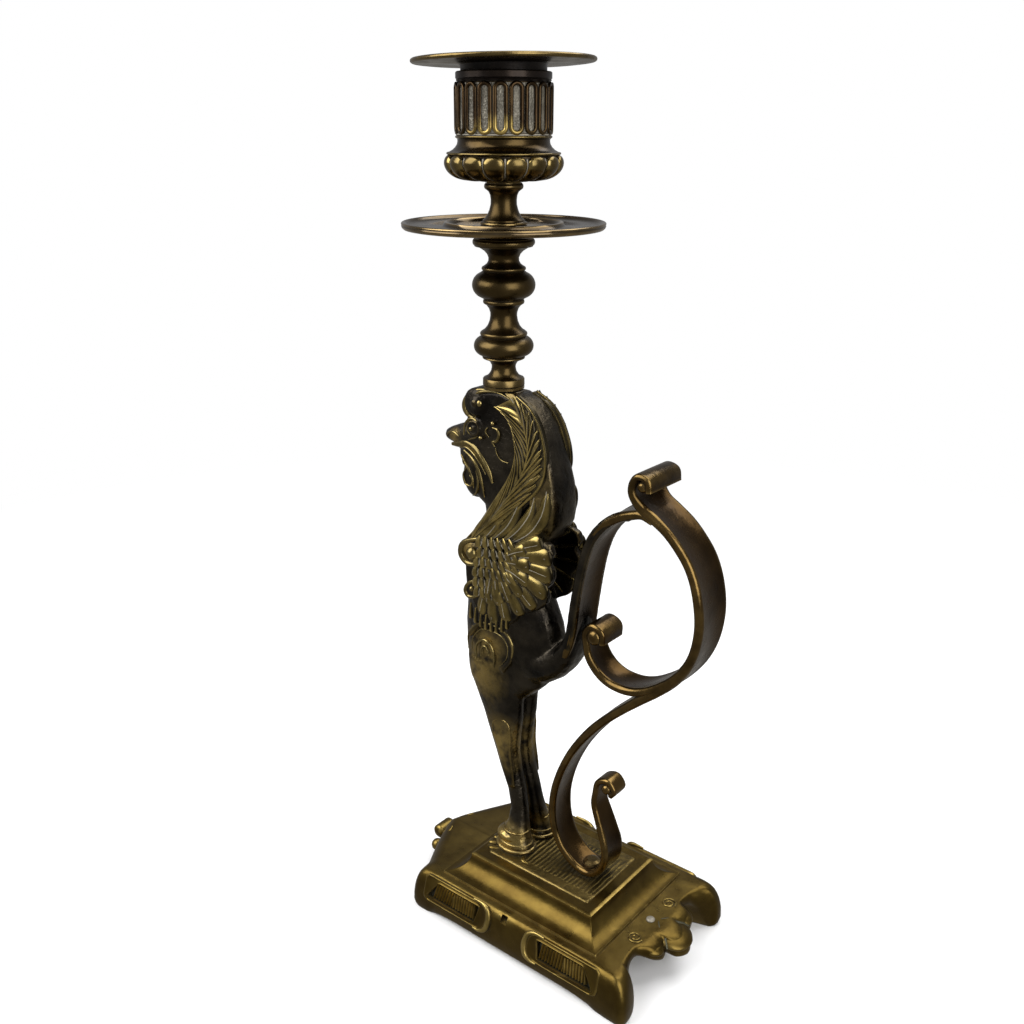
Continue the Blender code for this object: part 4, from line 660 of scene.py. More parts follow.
scrollShape = {
    "main": [
        (34.6, 174.7, 9.2, 2.3), (33.9, 178.1, 9.2, 2.3), (30.5, 178.8, 9.2, 2.3), (28.6, 176.1, 9.2, 2.5),
        (28.8, 172.7, 9.2, 2.8), (31.5, 168.9, 8.6, 3.4), (36.0, 166.2, 8.3, 3.4), (40.6, 163.2, 8.3, 3.1),
        (44.6, 159.4, 8.3, 3.1), (48.4, 154.6, 8.3, 3.1), (51.0, 149.0, 8.3, 3.1), (52.6, 142.6, 8.3, 3.1),
        (53.2, 136.4, 8.1, 3.1), (52.6, 130.0, 7.8, 3.1), (51.0, 124.2, 7.5, 3.1), (48.2, 118.8, 7.1, 3.4),
        (44.0, 113.4, 6.6, 3.6), (38.6, 108.2, 6.3, 3.6), (32.4, 102.8, 6.0, 3.4), (26.0, 97.0, 5.9, 3.1),
        (19.6, 90.8, 5.7, 3.1), (13.8, 84.2, 5.7, 3.1), (8.8, 77.2, 5.7, 2.9), (4.8, 70.2, 5.7, 2.8),
        (1.2, 61.6, 5.7, 2.8), (-1.0, 53.0, 5.7, 2.8), (-1.4, 45.4, 5.7, 2.8), (-0.2, 38.4, 5.7, 2.8),
        (2.8, 32.4, 5.7, 2.8), (7.2, 28.6, 5.7, 2.8), (11.0, 26.9, 5.7, 2.8), (15.4, 26.9, 5.7, 2.8),
        (19.0, 29.8, 5.7, 2.8), (21.2, 34.4, 5.6, 2.7), (21.2, 39.6, 5.4, 2.7), (19.4, 45.0, 5.0, 2.7),
        (17.2, 50.6, 4.6, 2.5), (15.5, 55.4, 4.2, 2.4), (15.7, 59.6, 4.0, 2.2), (16.7, 64.4, 3.9, 2.2),
        (20.5, 66.2, 3.8, 2.1), (23.1, 63.6, 3.7, 2.0), (21.7, 60.9, 3.6, 1.9)],
    "curl": [
        (48.6, 119.6, 7.0, 2.5), (43.4, 113.6, 6.6, 2.8), (37.0, 108.6, 6.5, 2.9), (31.6, 105.8, 6.3, 3.1),
        (26.2, 104.7, 6.2, 3.1), (20.4, 105.3, 6.1, 3.1), (15.8, 107.8, 6.0, 3.1), (12.5, 111.9, 6.0, 2.9),
        (11.4, 116.5, 6.0, 2.6), (11.1, 120.5, 6.0, 2.5), (13.7, 123.4, 6.0, 2.5), (17.4, 122.1, 6.0, 2.3),
        (17.7, 118.3, 6.0, 2.2)],
    "tail": [
        (-9.0, 98.8, 4.4, 2.4), (-2.6, 103.0, 6.0, 3.0), (2.2, 108.4, 6.9, 3.3), (4.8, 114.0, 7.2, 3.4),
        (6.2, 120.5, 7.2, 3.4), (7.2, 130, 7.2, 3.3), (9.6, 144, 7.0, 3.3), (12.6, 153.2, 7.0, 3.3),
        (17.2, 159.6, 7.1, 3.3), (22.4, 163.4, 7.4, 3.3), (27.4, 165.6, 7.8, 3.2), (31.6, 166.6, 8.0, 2.9),
        (35.4, 165.4, 8.0, 2.4)],
    "cores": [(31.6, 175.7, 1.8, 7.4), (14.6, 119.8, 2.6, 5.6), (20.0, 62.9, 1.9, 2.9)]}


def strapRing(x, z, half, thick, normal):
    bulb = thick / 2
    # the web is hollow only where the strap is thick
    webTurn = 92 + 30 * max(0.0, min(1.0, (thick - 2.35) / 0.4))
    ring = []
    for side in (1, -1):
        for i in range(12):
            turn = math.radians(-webTurn + 2 * webTurn * i / 11)
            u, v = half - bulb + bulb * math.cos(turn), bulb * math.sin(turn)
            u, v = (u, v) if side > 0 else (-u, -v)
            ring.append(at(x + normal[0] * v, u, z + normal[1] * v))
    return ring


def strap(points, count):
    stops = curve(points, count)
    rings = []
    for i, (x, z, half, thick) in enumerate(stops):
        a, b = stops[max(i - 1, 0)], stops[min(i + 1, count - 1)]
        length = math.hypot(b[0] - a[0], b[1] - a[1])
        rings.append(strapRing(x, z, half, thick, (-(b[1] - a[1]) / length, (b[0] - a[0]) / length)))
    return swept(rings)


def core(x, z, radius, half):
    stops = [(-half - 1.0, radius * 0.3), (-half - 0.75, radius * 0.65), (-half - 0.2, radius * 0.92),
             (-half + 0.4, radius)]
    stops += [(-y, r) for y, r in reversed(stops)]
    rings = []
    for y, r in stops:
        rings.append([at(x + r * math.cos(math.pi * i / 16), y, z + r * math.sin(math.pi * i / 16))
                      for i in range(32)])
    return swept(rings)


def makeScroll(s):
    parts = [strap(s["main"], 300), strap(s["curl"], 90)] + [core(*c) for c in s["cores"]]
    return joined(parts, "scrollStraps", "strap")


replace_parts(makeScroll(scrollShape), "scroll")
print("scroll")

# Figure

figureShape = {"voxel": 0.52, "rounding": 3}


def makeBody(s):
    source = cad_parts["figure"]
    body = source.copy()
    body.data = source.data.copy()
    bpy.context.scene.collection.objects.link(body)
    editAll(body)
    bpy.ops.mesh.remove_doubles(threshold=0.001 * mm)
    bpy.ops.object.mode_set(mode="OBJECT")
    applied(body, "REMESH", mode="VOXEL", voxel_size=s["voxel"] * mm)
    applied(body, "SMOOTH", factor=0.5, iterations=s["rounding"])
    bpy.ops.object.shade_smooth()
    return dress(body, "figureBody", "bronze")


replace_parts(makeBody(figureShape), "figure")
dress(strap(scrollShape["tail"], 70), "tailStrap", "strap")

plumeShape = {
    "rib": [(-19.8, 194.2), (-15.3, 190.8), (-12.7, 186.5), (-11.3, 182.1), (-11.1, 176.9), (-12.1, 172.4),
            (-15.5, 166.2), (-20.5, 160), (-26, 152.8), (-31.5, 146.5), (-35.5, 142)],
    "outer": [(-18.1, 195.1), (-12.3, 191.9), (-8.5, 187.4), (-6.2, 182.1), (-5.0, 177.1), (-5.1, 171.8),
              (-7.6, 166.3), (-13, 160.7), (-20.0, 153.3), (-27.5, 146.6), (-34.5, 141.4)],
    "inner": [(-27.0, 190.2), (-22.4, 187.9), (-19.6, 184.6), (-18.0, 180.6), (-17.2, 176.2),
              (-18.2, 170.9), (-20.5, 166), (-24.0, 160.6), (-28.8, 153.4), (-33, 147.4), (-37.0, 142.8)],
    "bands": [("outer", (5.0, 8.3), 0.5), ("inner", (5.0, 8.5), 0.4)],
    "barbs": [("outer", (5.4, 8.8), 15, 15, 1.75), ("inner", (5.3, 8.9), 15, 15, 1.45),
              ("outer", (5.9, 9.3), 12, 24, 0.6), ("inner", (5.8, 9.4), 14, 22, 0.55)],
    "borders": [("outer", (5.3, 8.7), [0.3, 0.55, 0.6, 0.5, 0.3]),
                ("inner", (5.2, 8.8), [0.3, 0.5, 0.55, 0.5, 0.3])],
    "leaves": [
        ([(-4.0, 166.6), (-4.0, 163.2), (-5.4, 157.5), (-10, 151), (-18, 145.5)], (6.4, 8.7),
         [0.5, 2.1, 2.6, 2.2, 1.0]),
        ([(-8.8, 163.5), (-10.2, 157.5), (-14.5, 151), (-21, 145)], (6.6, 8.9), [0.3, 2.0, 2.1, 1.0]),
        ([(-14.5, 163), (-15.8, 157.5), (-19.3, 151), (-26, 144.4)], (6.8, 9.1), [0.3, 1.8, 1.9, 0.9]),
        ([(-20.0, 159.5), (-22, 154), (-25.5, 148.5), (-30.5, 143)], (7.0, 9.3), [0.3, 1.5, 1.6, 0.8])]}


def barbs(rib, edge, y, count, lead, half):  # slanting barbs from a feather's rib to its edge
    a, b = curve(rib, 80), curve(edge, 80)
    found = []
    for i in range(count):
        start = int(lead + (78 - lead) * i / (count - 1))
        stop = max(start - lead, 0)
        depth = y[0] + (y[1] - y[0]) * start / 79
        here = a[start]
        there = [b[stop][k] * 0.86 + a[stop][k] * 0.14 for k in (0, 1)]
        bend = a[(start + stop) // 2]
        middle = [0.3 * here[k] + 0.42 * there[k] + 0.28 * bend[k] for k in (0, 1)]
        found.append(flatStrand([here, middle, there], depth, [half * 0.35, half, half * 0.75, 0.15],
                                [0.4, 1.0, 0.8, 0.2], count=10, sides=10))
    return found


def makePlumes(s):
    parts = [band(s["rib"], s[edge], y, bulge) for edge, y, bulge in s["bands"]]
    for edge, *values in s["barbs"]:
        parts += barbs(s["rib"], s[edge], *values)
    for edge, y, widths in s["borders"]:
        parts.append(flatStrand(s[edge], y, widths, [0.3, 0.6, 0.6, 0.4], count=60, sides=10))
    for points, y, widths in s["leaves"]:
        parts.append(flatStrand(points, y, widths, [0.3, 1.0, 1.0, 0.5], count=22, sides=12))
    bothSides(parts, "plumes", "feather")


makePlumes(plumeShape)


def makeRibs(s):
    parts = [flatStrand(s["rib"], (6.1, 9.5), [0.15, 0.28, 0.3, 0.26, 0.2, 0.1], [0.3, 0.4, 0.4, 0.3],
                        count=60, sides=8)]
    for points, y, _ in s["leaves"]:
        parts.append(flatStrand(points, (y[0] + 1.0, y[1] + 0.9), [0.08, 0.18, 0.1], [0.15, 0.25, 0.15],
                                count=16, sides=6))
    bothSides(parts, "ribs", "residue")


makeRibs(plumeShape)

fanShape = {
    "hub": (-23, 138), "lobeRows": {"tips": (9.1, 1.6, 1.2), "inner": (9.9, 1.4, 0.8)},
    "quillRows": {"tips": 10.6, "inner": 11.2},
    "tips": [(-3.4, 149.4, 3.2), (0.3, 145.2, 3.3), (0.6, 138.6, 3.6), (-1.4, 131.4, 3.6),
             (-6.2, 125.4, 3.4), (-12.2, 121.0, 3.2), (-18.4, 116.9, 3.0), (-24.6, 114.4, 2.7),
             (-30.4, 116.2, 2.4)],
    "inner": [(-9.4, 146.0, 2.5), (-7.6, 140.4, 2.8), (-8.2, 134.2, 2.8), (-11.2, 128.8, 2.7),
              (-16.0, 124.8, 2.5), (-21.2, 122.2, 2.3), (-26.4, 121.6, 2.1)]}


def lobe(s, x, z, sag, stops):  # the bent middle line of a lobe, at these shares of its way from the hub
    hubX, hubZ = s["hub"]
    arch = [sag * math.sin(math.pi * t) for t in stops]
    return [(hubX + (x - hubX) * t - rise * 0.3, hubZ + (z - hubZ) * t + rise)
            for t, rise in zip(stops, arch)]


def makeFan(s):
    parts = []
    for row, (y, rise, sag) in s["lobeRows"].items():
        for i, (x, z, half) in enumerate(s[row]):
            path = lobe(s, x, z, sag, (0.15, 0.4, 0.65, 0.85, 0.96, 1.0))
            widths = [half * share for share in (0.3, 0.6, 0.85, 1, 0.75, 0.2)]
            parts.append(flatStrand(path, y + 0.12 * (i % 2), widths,
                                    [0.4, rise * 0.7, rise, rise, rise * 0.7, 0.2], count=22, sides=14))
    bothSides(parts, "fan", "feather")


makeFan(fanShape)


def makeQuills(s):
    parts = []
    for row, y in s["quillRows"].items():
        for x, z, _ in s[row]:
            path = lobe(s, x, z, s["lobeRows"][row][2], (0.4, 0.65, 0.92))
            parts.append(flatStrand(path, y, [0.08, 0.16, 0.08], [0.1, 0.2, 0.1], count=10, sides=6))
    bothSides(parts, "quills", "residue")


makeQuills(fanShape)

curlShape = {
    "wires": [
        ([(-28.5, 145), (-33.5, 143.6), (-38, 141), (-38.8, 137), (-36, 134.4), (-32.0, 135.2),
          (-30, 138.6)], 9.6, 1.1, 1.2),
        ([(-30.5, 127), (-33, 128), (-36, 126.5), (-37.5, 123.5), (-36, 121.6), (-33, 122.4),
          (-32.2, 124.8), (-34, 125.5)], 9.2, 0.75, 0.8),
        ([(-35.2, 190.0), (-35.6, 188.8), (-37.2, 190.5), (-36.1, 192.6), (-33.2, 194.3), (-29.1, 195.1),
          (-25.1, 195.0), (-21.1, 193.8)], 5.2, 0.55, 0.6),
        ([(-36.2, 184.6), (-39.1, 185.2), (-40.8, 187.2), (-40.6, 189.9), (-38.3, 192.9), (-34.8, 194.6),
          (-30.4, 195.2)], 4.4, 1.0, 1.1),
        ([(-41.4, 178.2), (-40.6, 182.2), (-37.8, 184.4), (-35.2, 183.4), (-34.5, 180.8), (-35.9, 178.3),
          (-39.3, 176.8)], 4.8, 0.6, 0.55),
        ([(-28.4, 182.9), (-26.4, 182.5), (-25.7, 180.6), (-26.8, 178.6), (-28.5, 178.0), (-27.6, 176.6)],
         5.0, 0.6, 0.6),
        ([(-30.6, 182.7), (-31.5, 181.0), (-30.0, 179.4)], 5.0, 0.3, 0.3),
        ([(-27.2, 176.3), (-26.6, 174.2), (-24.5, 172.4), (-21.8, 172.1)], 5.0, 0.25, 0.28),
        ([(-48.6, 173.2), (-45.3, 173.8), (-40.6, 174.9), (-36.3, 173.2), (-32.9, 170.0), (-30.1, 166.7),
          (-28.6, 163.6)], (2.7, 5.0), 1.5, 1.0),
        ([(-43.8, 173.0), (-40.6, 173.9), (-36.9, 172.4), (-33.8, 169.6), (-31.2, 166.4)], (4.2, 5.5), 0.35,
         0.5),
        ([(-42.2, 172.4), (-39.4, 170.9), (-36.6, 168.7), (-34.8, 165.7), (-33.5, 162.0), (-32.4, 157.7)],
         (3.9, 4.7), 0.75, 0.6),
        ([(-41.0, 166.4), (-42.4, 163.8), (-41.4, 160.8), (-39.0, 160.4), (-38.0, 162.4), (-39.4, 164.0),
          (-40.6, 162.8)], 4.1, 0.4, 0.6),
        ([(-36.6, 166.2), (-35.6, 162.6), (-36.2, 158.8), (-38.2, 156.8)], 4.1, 0.5, 0.6),
        ([(-43.0, 170.0), (-42.6, 168.0), (-41.4, 166.6)], 3.5, 0.5, 0.5),
        ([(-43.5, 170.5), (-41.8, 168.1), (-40.0, 166.1), (-38.2, 163.1), (-37.6, 159.8)], (3.7, 4.3), 0.6,
         0.55),
        ([(-44.6, 176.5), (-47.5, 177.6), (-50.5, 176.8), (-51.8, 175.0)], (3.4, 1.8), 0.45, 0.5),
        ([(-36.5, 101), (-36.3, 107), (-31.5, 112.4), (-25.5, 113.6), (-19.5, 112.3), (-16.5, 108.4),
          (-17, 103), (-20, 98.5)], 9.0, 0.5, 0.6),
        ([(-34.9, 100.5), (-34.3, 106), (-30.5, 110.3), (-25.5, 111.2), (-20.9, 110.2), (-18.6, 107.2),
          (-19, 102.8), (-21.5, 99.4)], 9.0, 0.32, 0.4),
        ([(-33.0, 97.5), (-32.8, 103.5), (-29.3, 106.6), (-26, 104.8), (-24.8, 100.5), (-25.2, 97.0)], 8.9,
         0.5, 0.6),
        ([(-31.0, 99.5), (-30.4, 103.2), (-28.6, 104.0), (-27.2, 101.0)], 8.9, 0.34, 0.4)],
    "rings": [(-37.7, 180.9, 1.9, 4.95, 0.4)], "chin": (-39.3, 163.6, (5.2, 4.5, 8.4)),
    "beads": [(-33.4, 138.8, 2.4, 9.8), (-34.3, 125.0, 1.0, 9.5), (-33.7, 190.4, 1.35, 5.2),
              (-28.2, 184.4, 0.75, 5.2), (-33.6, 178.5, 0.75, 5.1), (-37.7, 180.9, 0.85, 5.2)]}


def makeCurls(s):
    parts = []
    for points, y, wide, high in s["wires"]:
        parts.append(flatStrand(points, y, [wide * 0.4, wide, wide * 0.95, wide * 0.25],
                                [high * 0.4, high, high, high * 0.3], count=6 * len(points), sides=10))
    for x, z, radius, y, wide in s["rings"]:
        loop = [(x + radius * math.cos(math.pi * i / 6), z + radius * math.sin(math.pi * i / 6))
                for i in range(13)]
        parts.append(flatStrand(loop, y, [wide, wide], [wide, wide], count=40, sides=8))
    for x, z, size, y in s["beads"]:
        parts.append(bead(x, -y, z, size))
    bothSides(parts, "curls", "relief")
    x, z, size = s["chin"]
    dress(bead(x, 0, z, 1, size, 40), "chin", "bronze")


makeCurls(curlShape)

scaleShape = {"rows": [((-30, 144.2), (-15.5, 146.0), 6), ((-29.5, 140.6), (-14.0, 142.4), 6),
                       ((-31, 136.8), (-14.5, 138.4), 7), ((-31.5, 133.0), (-15.5, 134.6), 7),
                       ((-31.5, 129.2), (-17.5, 130.6), 6), ((-31, 125.6), (-20.5, 126.8), 5)],
              "comb": [(-34.6, 113.6), (-32.4, 112.4), (-30, 111.6), (-27.6, 111.2), (-25.2, 111.2),
                       (-22.8, 111.6), (-20.4, 112.6), (-18.2, 114.4)]}


def makeScales(s):
    parts, lines = [], []
    for row, ((x0, z0), (x1, z1), count) in enumerate(s["rows"]):
        for i in range(count):
            x, z = x0 + (x1 - x0) * i / (count - 1), z0 + (z1 - z0) * i / (count - 1)
            lean = -0.5 + 0.4 * i
            path = [(x - lean, z + 2.0), (x, z), (x + lean, z - 1.9), (x + lean * 1.3, z - 2.4)]
            parts.append(flatStrand(path, 10.5 + 0.15 * (row % 2), [0.4, 1.35, 1.2, 0.3],
                                    [0.2, 0.75, 0.7, 0.2], count=11, sides=10))
            rim = [(x - lean - 1.35, z + 0.9), (x - 1.25, z - 0.9), (x + lean * 0.8, z - 2.3),
                   (x + 1.25, z - 0.9), (x + lean + 1.3, z + 0.8)]
            lines.append(flatStrand(rim, 10.75 + 0.15 * (row % 2), [0.1, 0.17, 0.1], [0.1, 0.17, 0.1],
                                    count=13, sides=6))
    for x, z in s["comb"]:
        path = [(x, z + 6.0), (x - 0.1, z + 3.0), (x - 0.2, z + 0.4), (x - 0.2, z)]
        parts.append(flatStrand(path, 9.6, [0.4, 0.65, 0.8, 0.2], [0.3, 0.7, 0.7, 0.2], count=11, sides=10))
    bothSides(parts, "scales", "feather")
    bothSides(lines, "scaleLines", "residue")


makeScales(scaleShape)

backShape = {"levels": [(195.2, -19.6, 4.2), (193.2, -15.0, 5.0), (190.0, -11.4, 5.4), (186.0, -8.6, 5.6),
                        (181.5, -6.8, 5.8), (177.0, -5.4, 6.2), (172.0, -3.8, 6.6), (167.0, -2.6, 7.0),
                        (162.0, -1.9, 7.2), (158.0, -1.8, 7.2), (154.0, -2.2, 6.8), (150.0, -4.0, 6.2),
                        (146.0, -8.0, 5.6)], "deep": 9.0, "innerFace": 6.5}


def makeBack(s):  # the smooth nape between the two head feathers
    rings = []
    for z, x, half in s["levels"]:
        ring = []
        for i in range(13):
            turn = math.radians(-90 + 180 * i / 12)
            ring.append(at(x - 1.6 + 2.4 * math.cos(turn) ** 0.6 if abs(i - 6) < 6 else x - 1.6,
                           half * math.sin(turn), z))
        ring += [at(x - s["deep"], half, z), at(x - s["deep"], -half, z)]
        rings.append(ring)
    return dress(swept(rings), "nape", "bronze")


makeBack(backShape)


def makeInnerRibs(s):  # quills on the faces that the wings turn to each other
    parts = []
    hubX, hubZ = fanShape["hub"]
    for x, z, _ in fanShape["tips"][:7]:
        spots = [at(hubX + (x - hubX) * t, -s["innerFace"], hubZ + (z - hubZ) * t)
                 for t in (0.45, 0.7, 0.96)]
        parts.append(strand(spots, [0.5, 0.75, 0.4], [0.4, 0.6, 0.3], Vector((0, 1, 0)), count=14, sides=8))
    bothSides(parts, "innerRibs", "relief")


makeInnerRibs(backShape)

legShape = {
    "panel": [(-26.3, 68.5), (-26.6, 73.6), (-23.6, 76.4), (-20.0, 75.3), (-18.9, 71), (-18.9, 63),
              (-17.6, 55), (-17.0, 50.5)],
    "hoof": {"x": -16.6, "y": 6.2, "bands": ((26.0, 7.3, 5.8, 0.75), (28.0, 6.5, 5.1, 0.4),
                                             (32.6, 4.9, 4.1, 0.4)),
             "toe": (-18.2, 6.2, 29.6, (6.1, 5.3, 3.1))}}


def makeLegs(s):
    parts = [flatStrand(s["panel"], (7.5, 7.2), [0.35, 0.5, 0.5, 0.3], [0.4, 0.5, 0.45, 0.3], count=40,
                        sides=8)]
    hoof = s["hoof"]
    for z, a, b, size in hoof["bands"]:
        ring = []
        for i in range(25):
            turn = 2 * math.pi * i / 24
            ring.append(at(hoof["x"] + a * math.cos(turn), -hoof["y"] + b * math.sin(turn), z))
        parts.append(strand(ring, [size] * 2, [size] * 2, Vector((0, 0, 1)), count=60, sides=8))
    x, y, z, size = hoof["toe"]
    parts.append(bead(x, -y, z, 1, size, 32))
    bothSides(parts, "legTrim", "bronze")


makeLegs(legShape)
print("figure")

# Base

baseShape = {"flange": 16.6, "lift": 1.8, "arch": 12.5, "wide": 32.8, "upper": 29.0, "bow": 56.6,
             "foot": 47.5, "shell": 53.4, "offset": 1.6, "edge": 41.2, "block": (33.9, 26.9), "inset": 7.5,
             "top": 24.4, "pit": (-2, 29.4, 15.2), "pitHalf": (1.3, 1.2), "pitDepth": 0.9, "cutOut": 3.0,
             "windowFloor": -1.3, "mouth": (39, 28.6, 0.86), "well": (38, 28, 0.84), "wellTop": 12.8}


def skirtColumns(s):  # upper x, y and lower x, y, z, from the front tip round one side to the rear
    arch, lift, wide, upper = s["arch"], s["lift"], s["wide"], s["upper"]
    bow, foot, shell, edge = s["bow"], s["foot"], s["shell"], s["edge"]
    near = [
        (-bow + 5.4, 0, -bow, 0, 5.6), (-bow + 7.6, 4.6, -bow + 1.2, 5.2, 5.4),
        (-bow + 10.6, 10, -bow + 3.4, 10.4, 5.2), (-bow + 13.6, 15.5, -bow + 6.0, 15.8, 5),
        (-bow + 15.9, 20, -bow + 8.2, 20.4, 4), (-edge + 2.0, 23.6, -foot + 0.4, 24.2, 0.9),
        (-edge + 1.6, 26, -foot + 1.2, 27.6, 0), (-edge + 1.8, upper - 0.7, -foot + 1.8, wide - 1.8, 0),
        (-edge + 3.0, upper, -foot + 3.8, wide + 0.1, 0), (-edge + 5, upper, -foot + 8.5, wide + 0.3, 0),
        (-edge + 8.5, upper, -foot + 13.5, wide, lift - 0.7), (-26, upper, -26, wide, lift),
        (-9.5, upper, -9.5, wide, lift), (9.5, upper, 9.5, wide, lift), (26, upper, 26, wide, lift),
        (edge - 8.5, upper, foot - 13.5, wide, lift - 0.7), (edge - 5, upper, foot - 8.5, wide + 0.3, 0),
        (edge - 2.6, upper, foot - 3, wide + 0.6, 0), (edge + 0.4, upper - 0.4, foot + 1.4, wide + 0.2, 0),
        (edge + 1.6, 26.6, foot + 2.2, 29.6, 0), (edge + 1.4, 24.9, foot + 0.6, 25.8, 0.9),
        (edge + 0.6, 23.0, foot - 2.2, 23.4, arch - 3.0), (edge + 0.2, 19.6, foot - 4.4, 19.6, arch),
        (edge, 14.8, foot - 4.6, 14.4, arch), (edge + 0.4, 11.6, shell - 6.2, 12.2, 10.6),
        (edge + 0.9, 8.2, shell - 4.9, 8.6, 9.2), (edge + 1.0, 5.4, shell - 5.4, 5.2, 9.4),
        (edge + 1.0, 3.4, shell - 1.8, 3.7, 8.6), (edge + 1.0, 0, shell, 0, 8.4)]
    loop = near + [(a, -b, c, -d, e) for a, b, c, d, e in reversed(near[1:-1])]
    loop = [(a, b, c, d + (s["offset"] if c > shell - 6.5 and e > 0 else 0), e) for a, b, c, d, e in loop]
    return [(a, b, c, d, max(e, 0.0)) for a, b, c, d, e in curve(loop + loop[:1], 6 * len(loop) + 1)[:-1]]


panelShape = {"centre": 24.2, "out": 31.75, "height": 11.6, "lean": 74, "reeds": 17,
              "pad": ((-15.2, 4.9), (-15.2, -4.9), (14.8, -4.9), (14.8, 4.9)), "round": (4.4, 2.2),
              "ring": [(-8.5, 5.2), (-12.6, 5.1), (-15.0, 3.7), (-15.9, 1.2), (-15.9, -1.2), (-15.0, -3.7),
                       (-12.6, -5.0), (-10.0, -5.1)],
              "window": ((-11.2, 3.3), (-9.8, -3.3), (12.8, -3.3), (8.2, 3.3))}


def panelAt(s, side, direction):
    spot = at(direction * s["centre"], -s["out"], s["height"])
    place = Matrix.Translation(spot) @ Matrix.Rotation(math.radians(s["lean"]), 4, "X")
    place = place @ Matrix.Scale(direction, 4, (1, 0, 0))
    return place if side < 0 else Matrix.Scale(-1, 4, (0, 1, 0)) @ place


def outline(corners, radius, count):  # points of a rounded polygon at equal steps of its outline
    dense = []
    total = len(corners)
    for i, corner in enumerate(corners):
        before, after = Vector(corners[i - 1]), Vector(corners[(i + 1) % total])
        here = Vector(corner)
        r = radius if isinstance(radius, (int, float)) else radius[0 if corner[0] < 0 else 1]
        a, b = here + (before - here).normalized() * r, here + (after - here).normalized() * r
        for k in range(7):
            t = k / 6
            dense.append(a * (1 - t) ** 2 + here * 2 * t * (1 - t) + b * t * t)
    dense.append(dense[0])
    lengths = [0.0]
    for p, q in zip(dense, dense[1:]):
        lengths.append(lengths[-1] + (q - p).length)
    found, k = [], 0
    for i in range(count):
        goal = lengths[-1] * i / count
        while lengths[k + 1] < goal:
            k += 1
        share = (goal - lengths[k]) / max(lengths[k + 1] - lengths[k], 1e-9)
        found.append(dense[k].lerp(dense[k + 1], share))
    return found


def makeSkirt(s):
    columns = skirtColumns(s)
    flange, rings = s["flange"], []

    def under(z):
        return z + (2.8 if z < 1.0 else 1.4)

    def inner(x, y, z, reachX, reachY, share):
        return at(max(-reachX, min(reachX, x * share)), max(-reachY, min(reachY, y * share)), z)

    rings.append([at(a * 0.55, b * 0.55, flange - 3) for a, b, c, d, z in columns])
    rings.append([at(a * 0.55, b * 0.55, flange) for a, b, c, d, z in columns])
    for angle in (0, 8, 16, 26, 36, 46, 56, 66, 76, 90):
        out, sink = math.sin(math.radians(angle)) ** 0.8, 1 - math.cos(math.radians(angle))
        rings.append([at(a + (c - a) * out, b + (d - b) * out, flange + (under(z) - flange) * sink)
                      for a, b, c, d, z in columns])
    for share, sink in ((0.994, 0.6), (0.985, 0.88), (0.972, 1.0)):
        rings.append([at(c * share, d * (share - 0.004), under(z) + (z - under(z)) * sink)
                      for a, b, c, d, z in columns])
    rings.append([inner(c, d, z + 0.2, *s["mouth"]) for a, b, c, d, z in columns])
    rings.append([inner(c, d, s["wellTop"], *s["well"]) for a, b, c, d, z in columns])
    skirt = swept(rings)
    windows = []
    for side in nearFar:
        for direction in (-1, 1):
            place = panelAt(panelShape, side, direction)
            shape = outline(panelShape["window"], 0.4, 48)
            levels = (s["windowFloor"], s["cutOut"] + 1)
            windows.append(swept([[place @ Vector((q.x * mm, q.y * mm, z * mm)) for q in shape]
                                  for z in levels]))
        x, y, z = s["pit"]
        halfX, halfZ = s["pitHalf"]
        square = ((-1, -1), (1, -1), (1, 1), (-1, 1))
        pit = [[at(x + u * halfX, side * (y + d), z + v * halfZ - 0.3 * d) for u, v in square]
               for d in (-s["pitDepth"], s["cutOut"])]
        windows.append(swept(pit))
    only(*windows)
    bpy.ops.object.join()
    applied(skirt, "BOOLEAN", operation="DIFFERENCE", solver="EXACT", object=windows[0])
    bpy.data.objects.remove(windows[0])
    return dress(smoothed(skirt, 40), "baseSkirt", "olive")


def rounded(x, y, radius, z):
    ring = []
    for sx, sy, start in ((1, 1, 0), (-1, 1, 90), (-1, -1, 180), (1, -1, 270)):
        for i in range(5):
            turn = math.radians(start + 90 * i / 4)
            ring.append(at(sx * (x - radius) + radius * math.cos(turn),
                           sy * (y - radius) + radius * math.sin(turn), z))
    return ring


def makeBlock(s):
    halfX, halfY = s["block"]
    rings = [rounded(halfX + 0.5, halfY + 0.5, 0.6, s["flange"] - 1.5),
             rounded(halfX + 0.5, halfY + 0.5, 0.6, s["flange"] + 0.1)]
    rings.append(rounded(halfX + 0.2, halfY + 0.2, 0.5, s["flange"] + 0.7))
    high = s["top"] - s["flange"] - 0.7
    for angle in range(0, 91, 8):
        turn = math.radians(angle)
        inset = (s["inset"] - 0.5) * math.sin(turn)
        rings.append(rounded(halfX - 0.1 - inset, halfY - 0.1 - inset, 0.35,
                             s["flange"] + 0.7 + high * (1 - math.cos(turn))))
    x, y = halfX - s["inset"] - 0.2, halfY - s["inset"] - 0.2
    rings.append(rounded(x - 0.3, y - 0.3, 0.3, s["top"] + 0.15))
    rings.append(rounded(x - 0.8, y - 0.8, 0.3, s["top"] + 0.1))
    rings.append(rounded(x - 4.0, y - 3.8, 0.6, s["top"] + 0.05))
    return dress(swept(rings), "baseBlock", "olive")


fieldShape = {"top": 25.0, "levels": [(22.2, 15.4, 1.0, -1.5), (22.2, 15.4, 1.0, -0.4),
                                      (21.9, 15.1, 0.9, -0.12), (21.3, 14.6, 0.8, 0)]}


def makeField(s):
    return dress(swept([rounded(x, y, radius, s["top"] + z) for x, y, radius, z in s["levels"]]),
                 "baseField", "field")


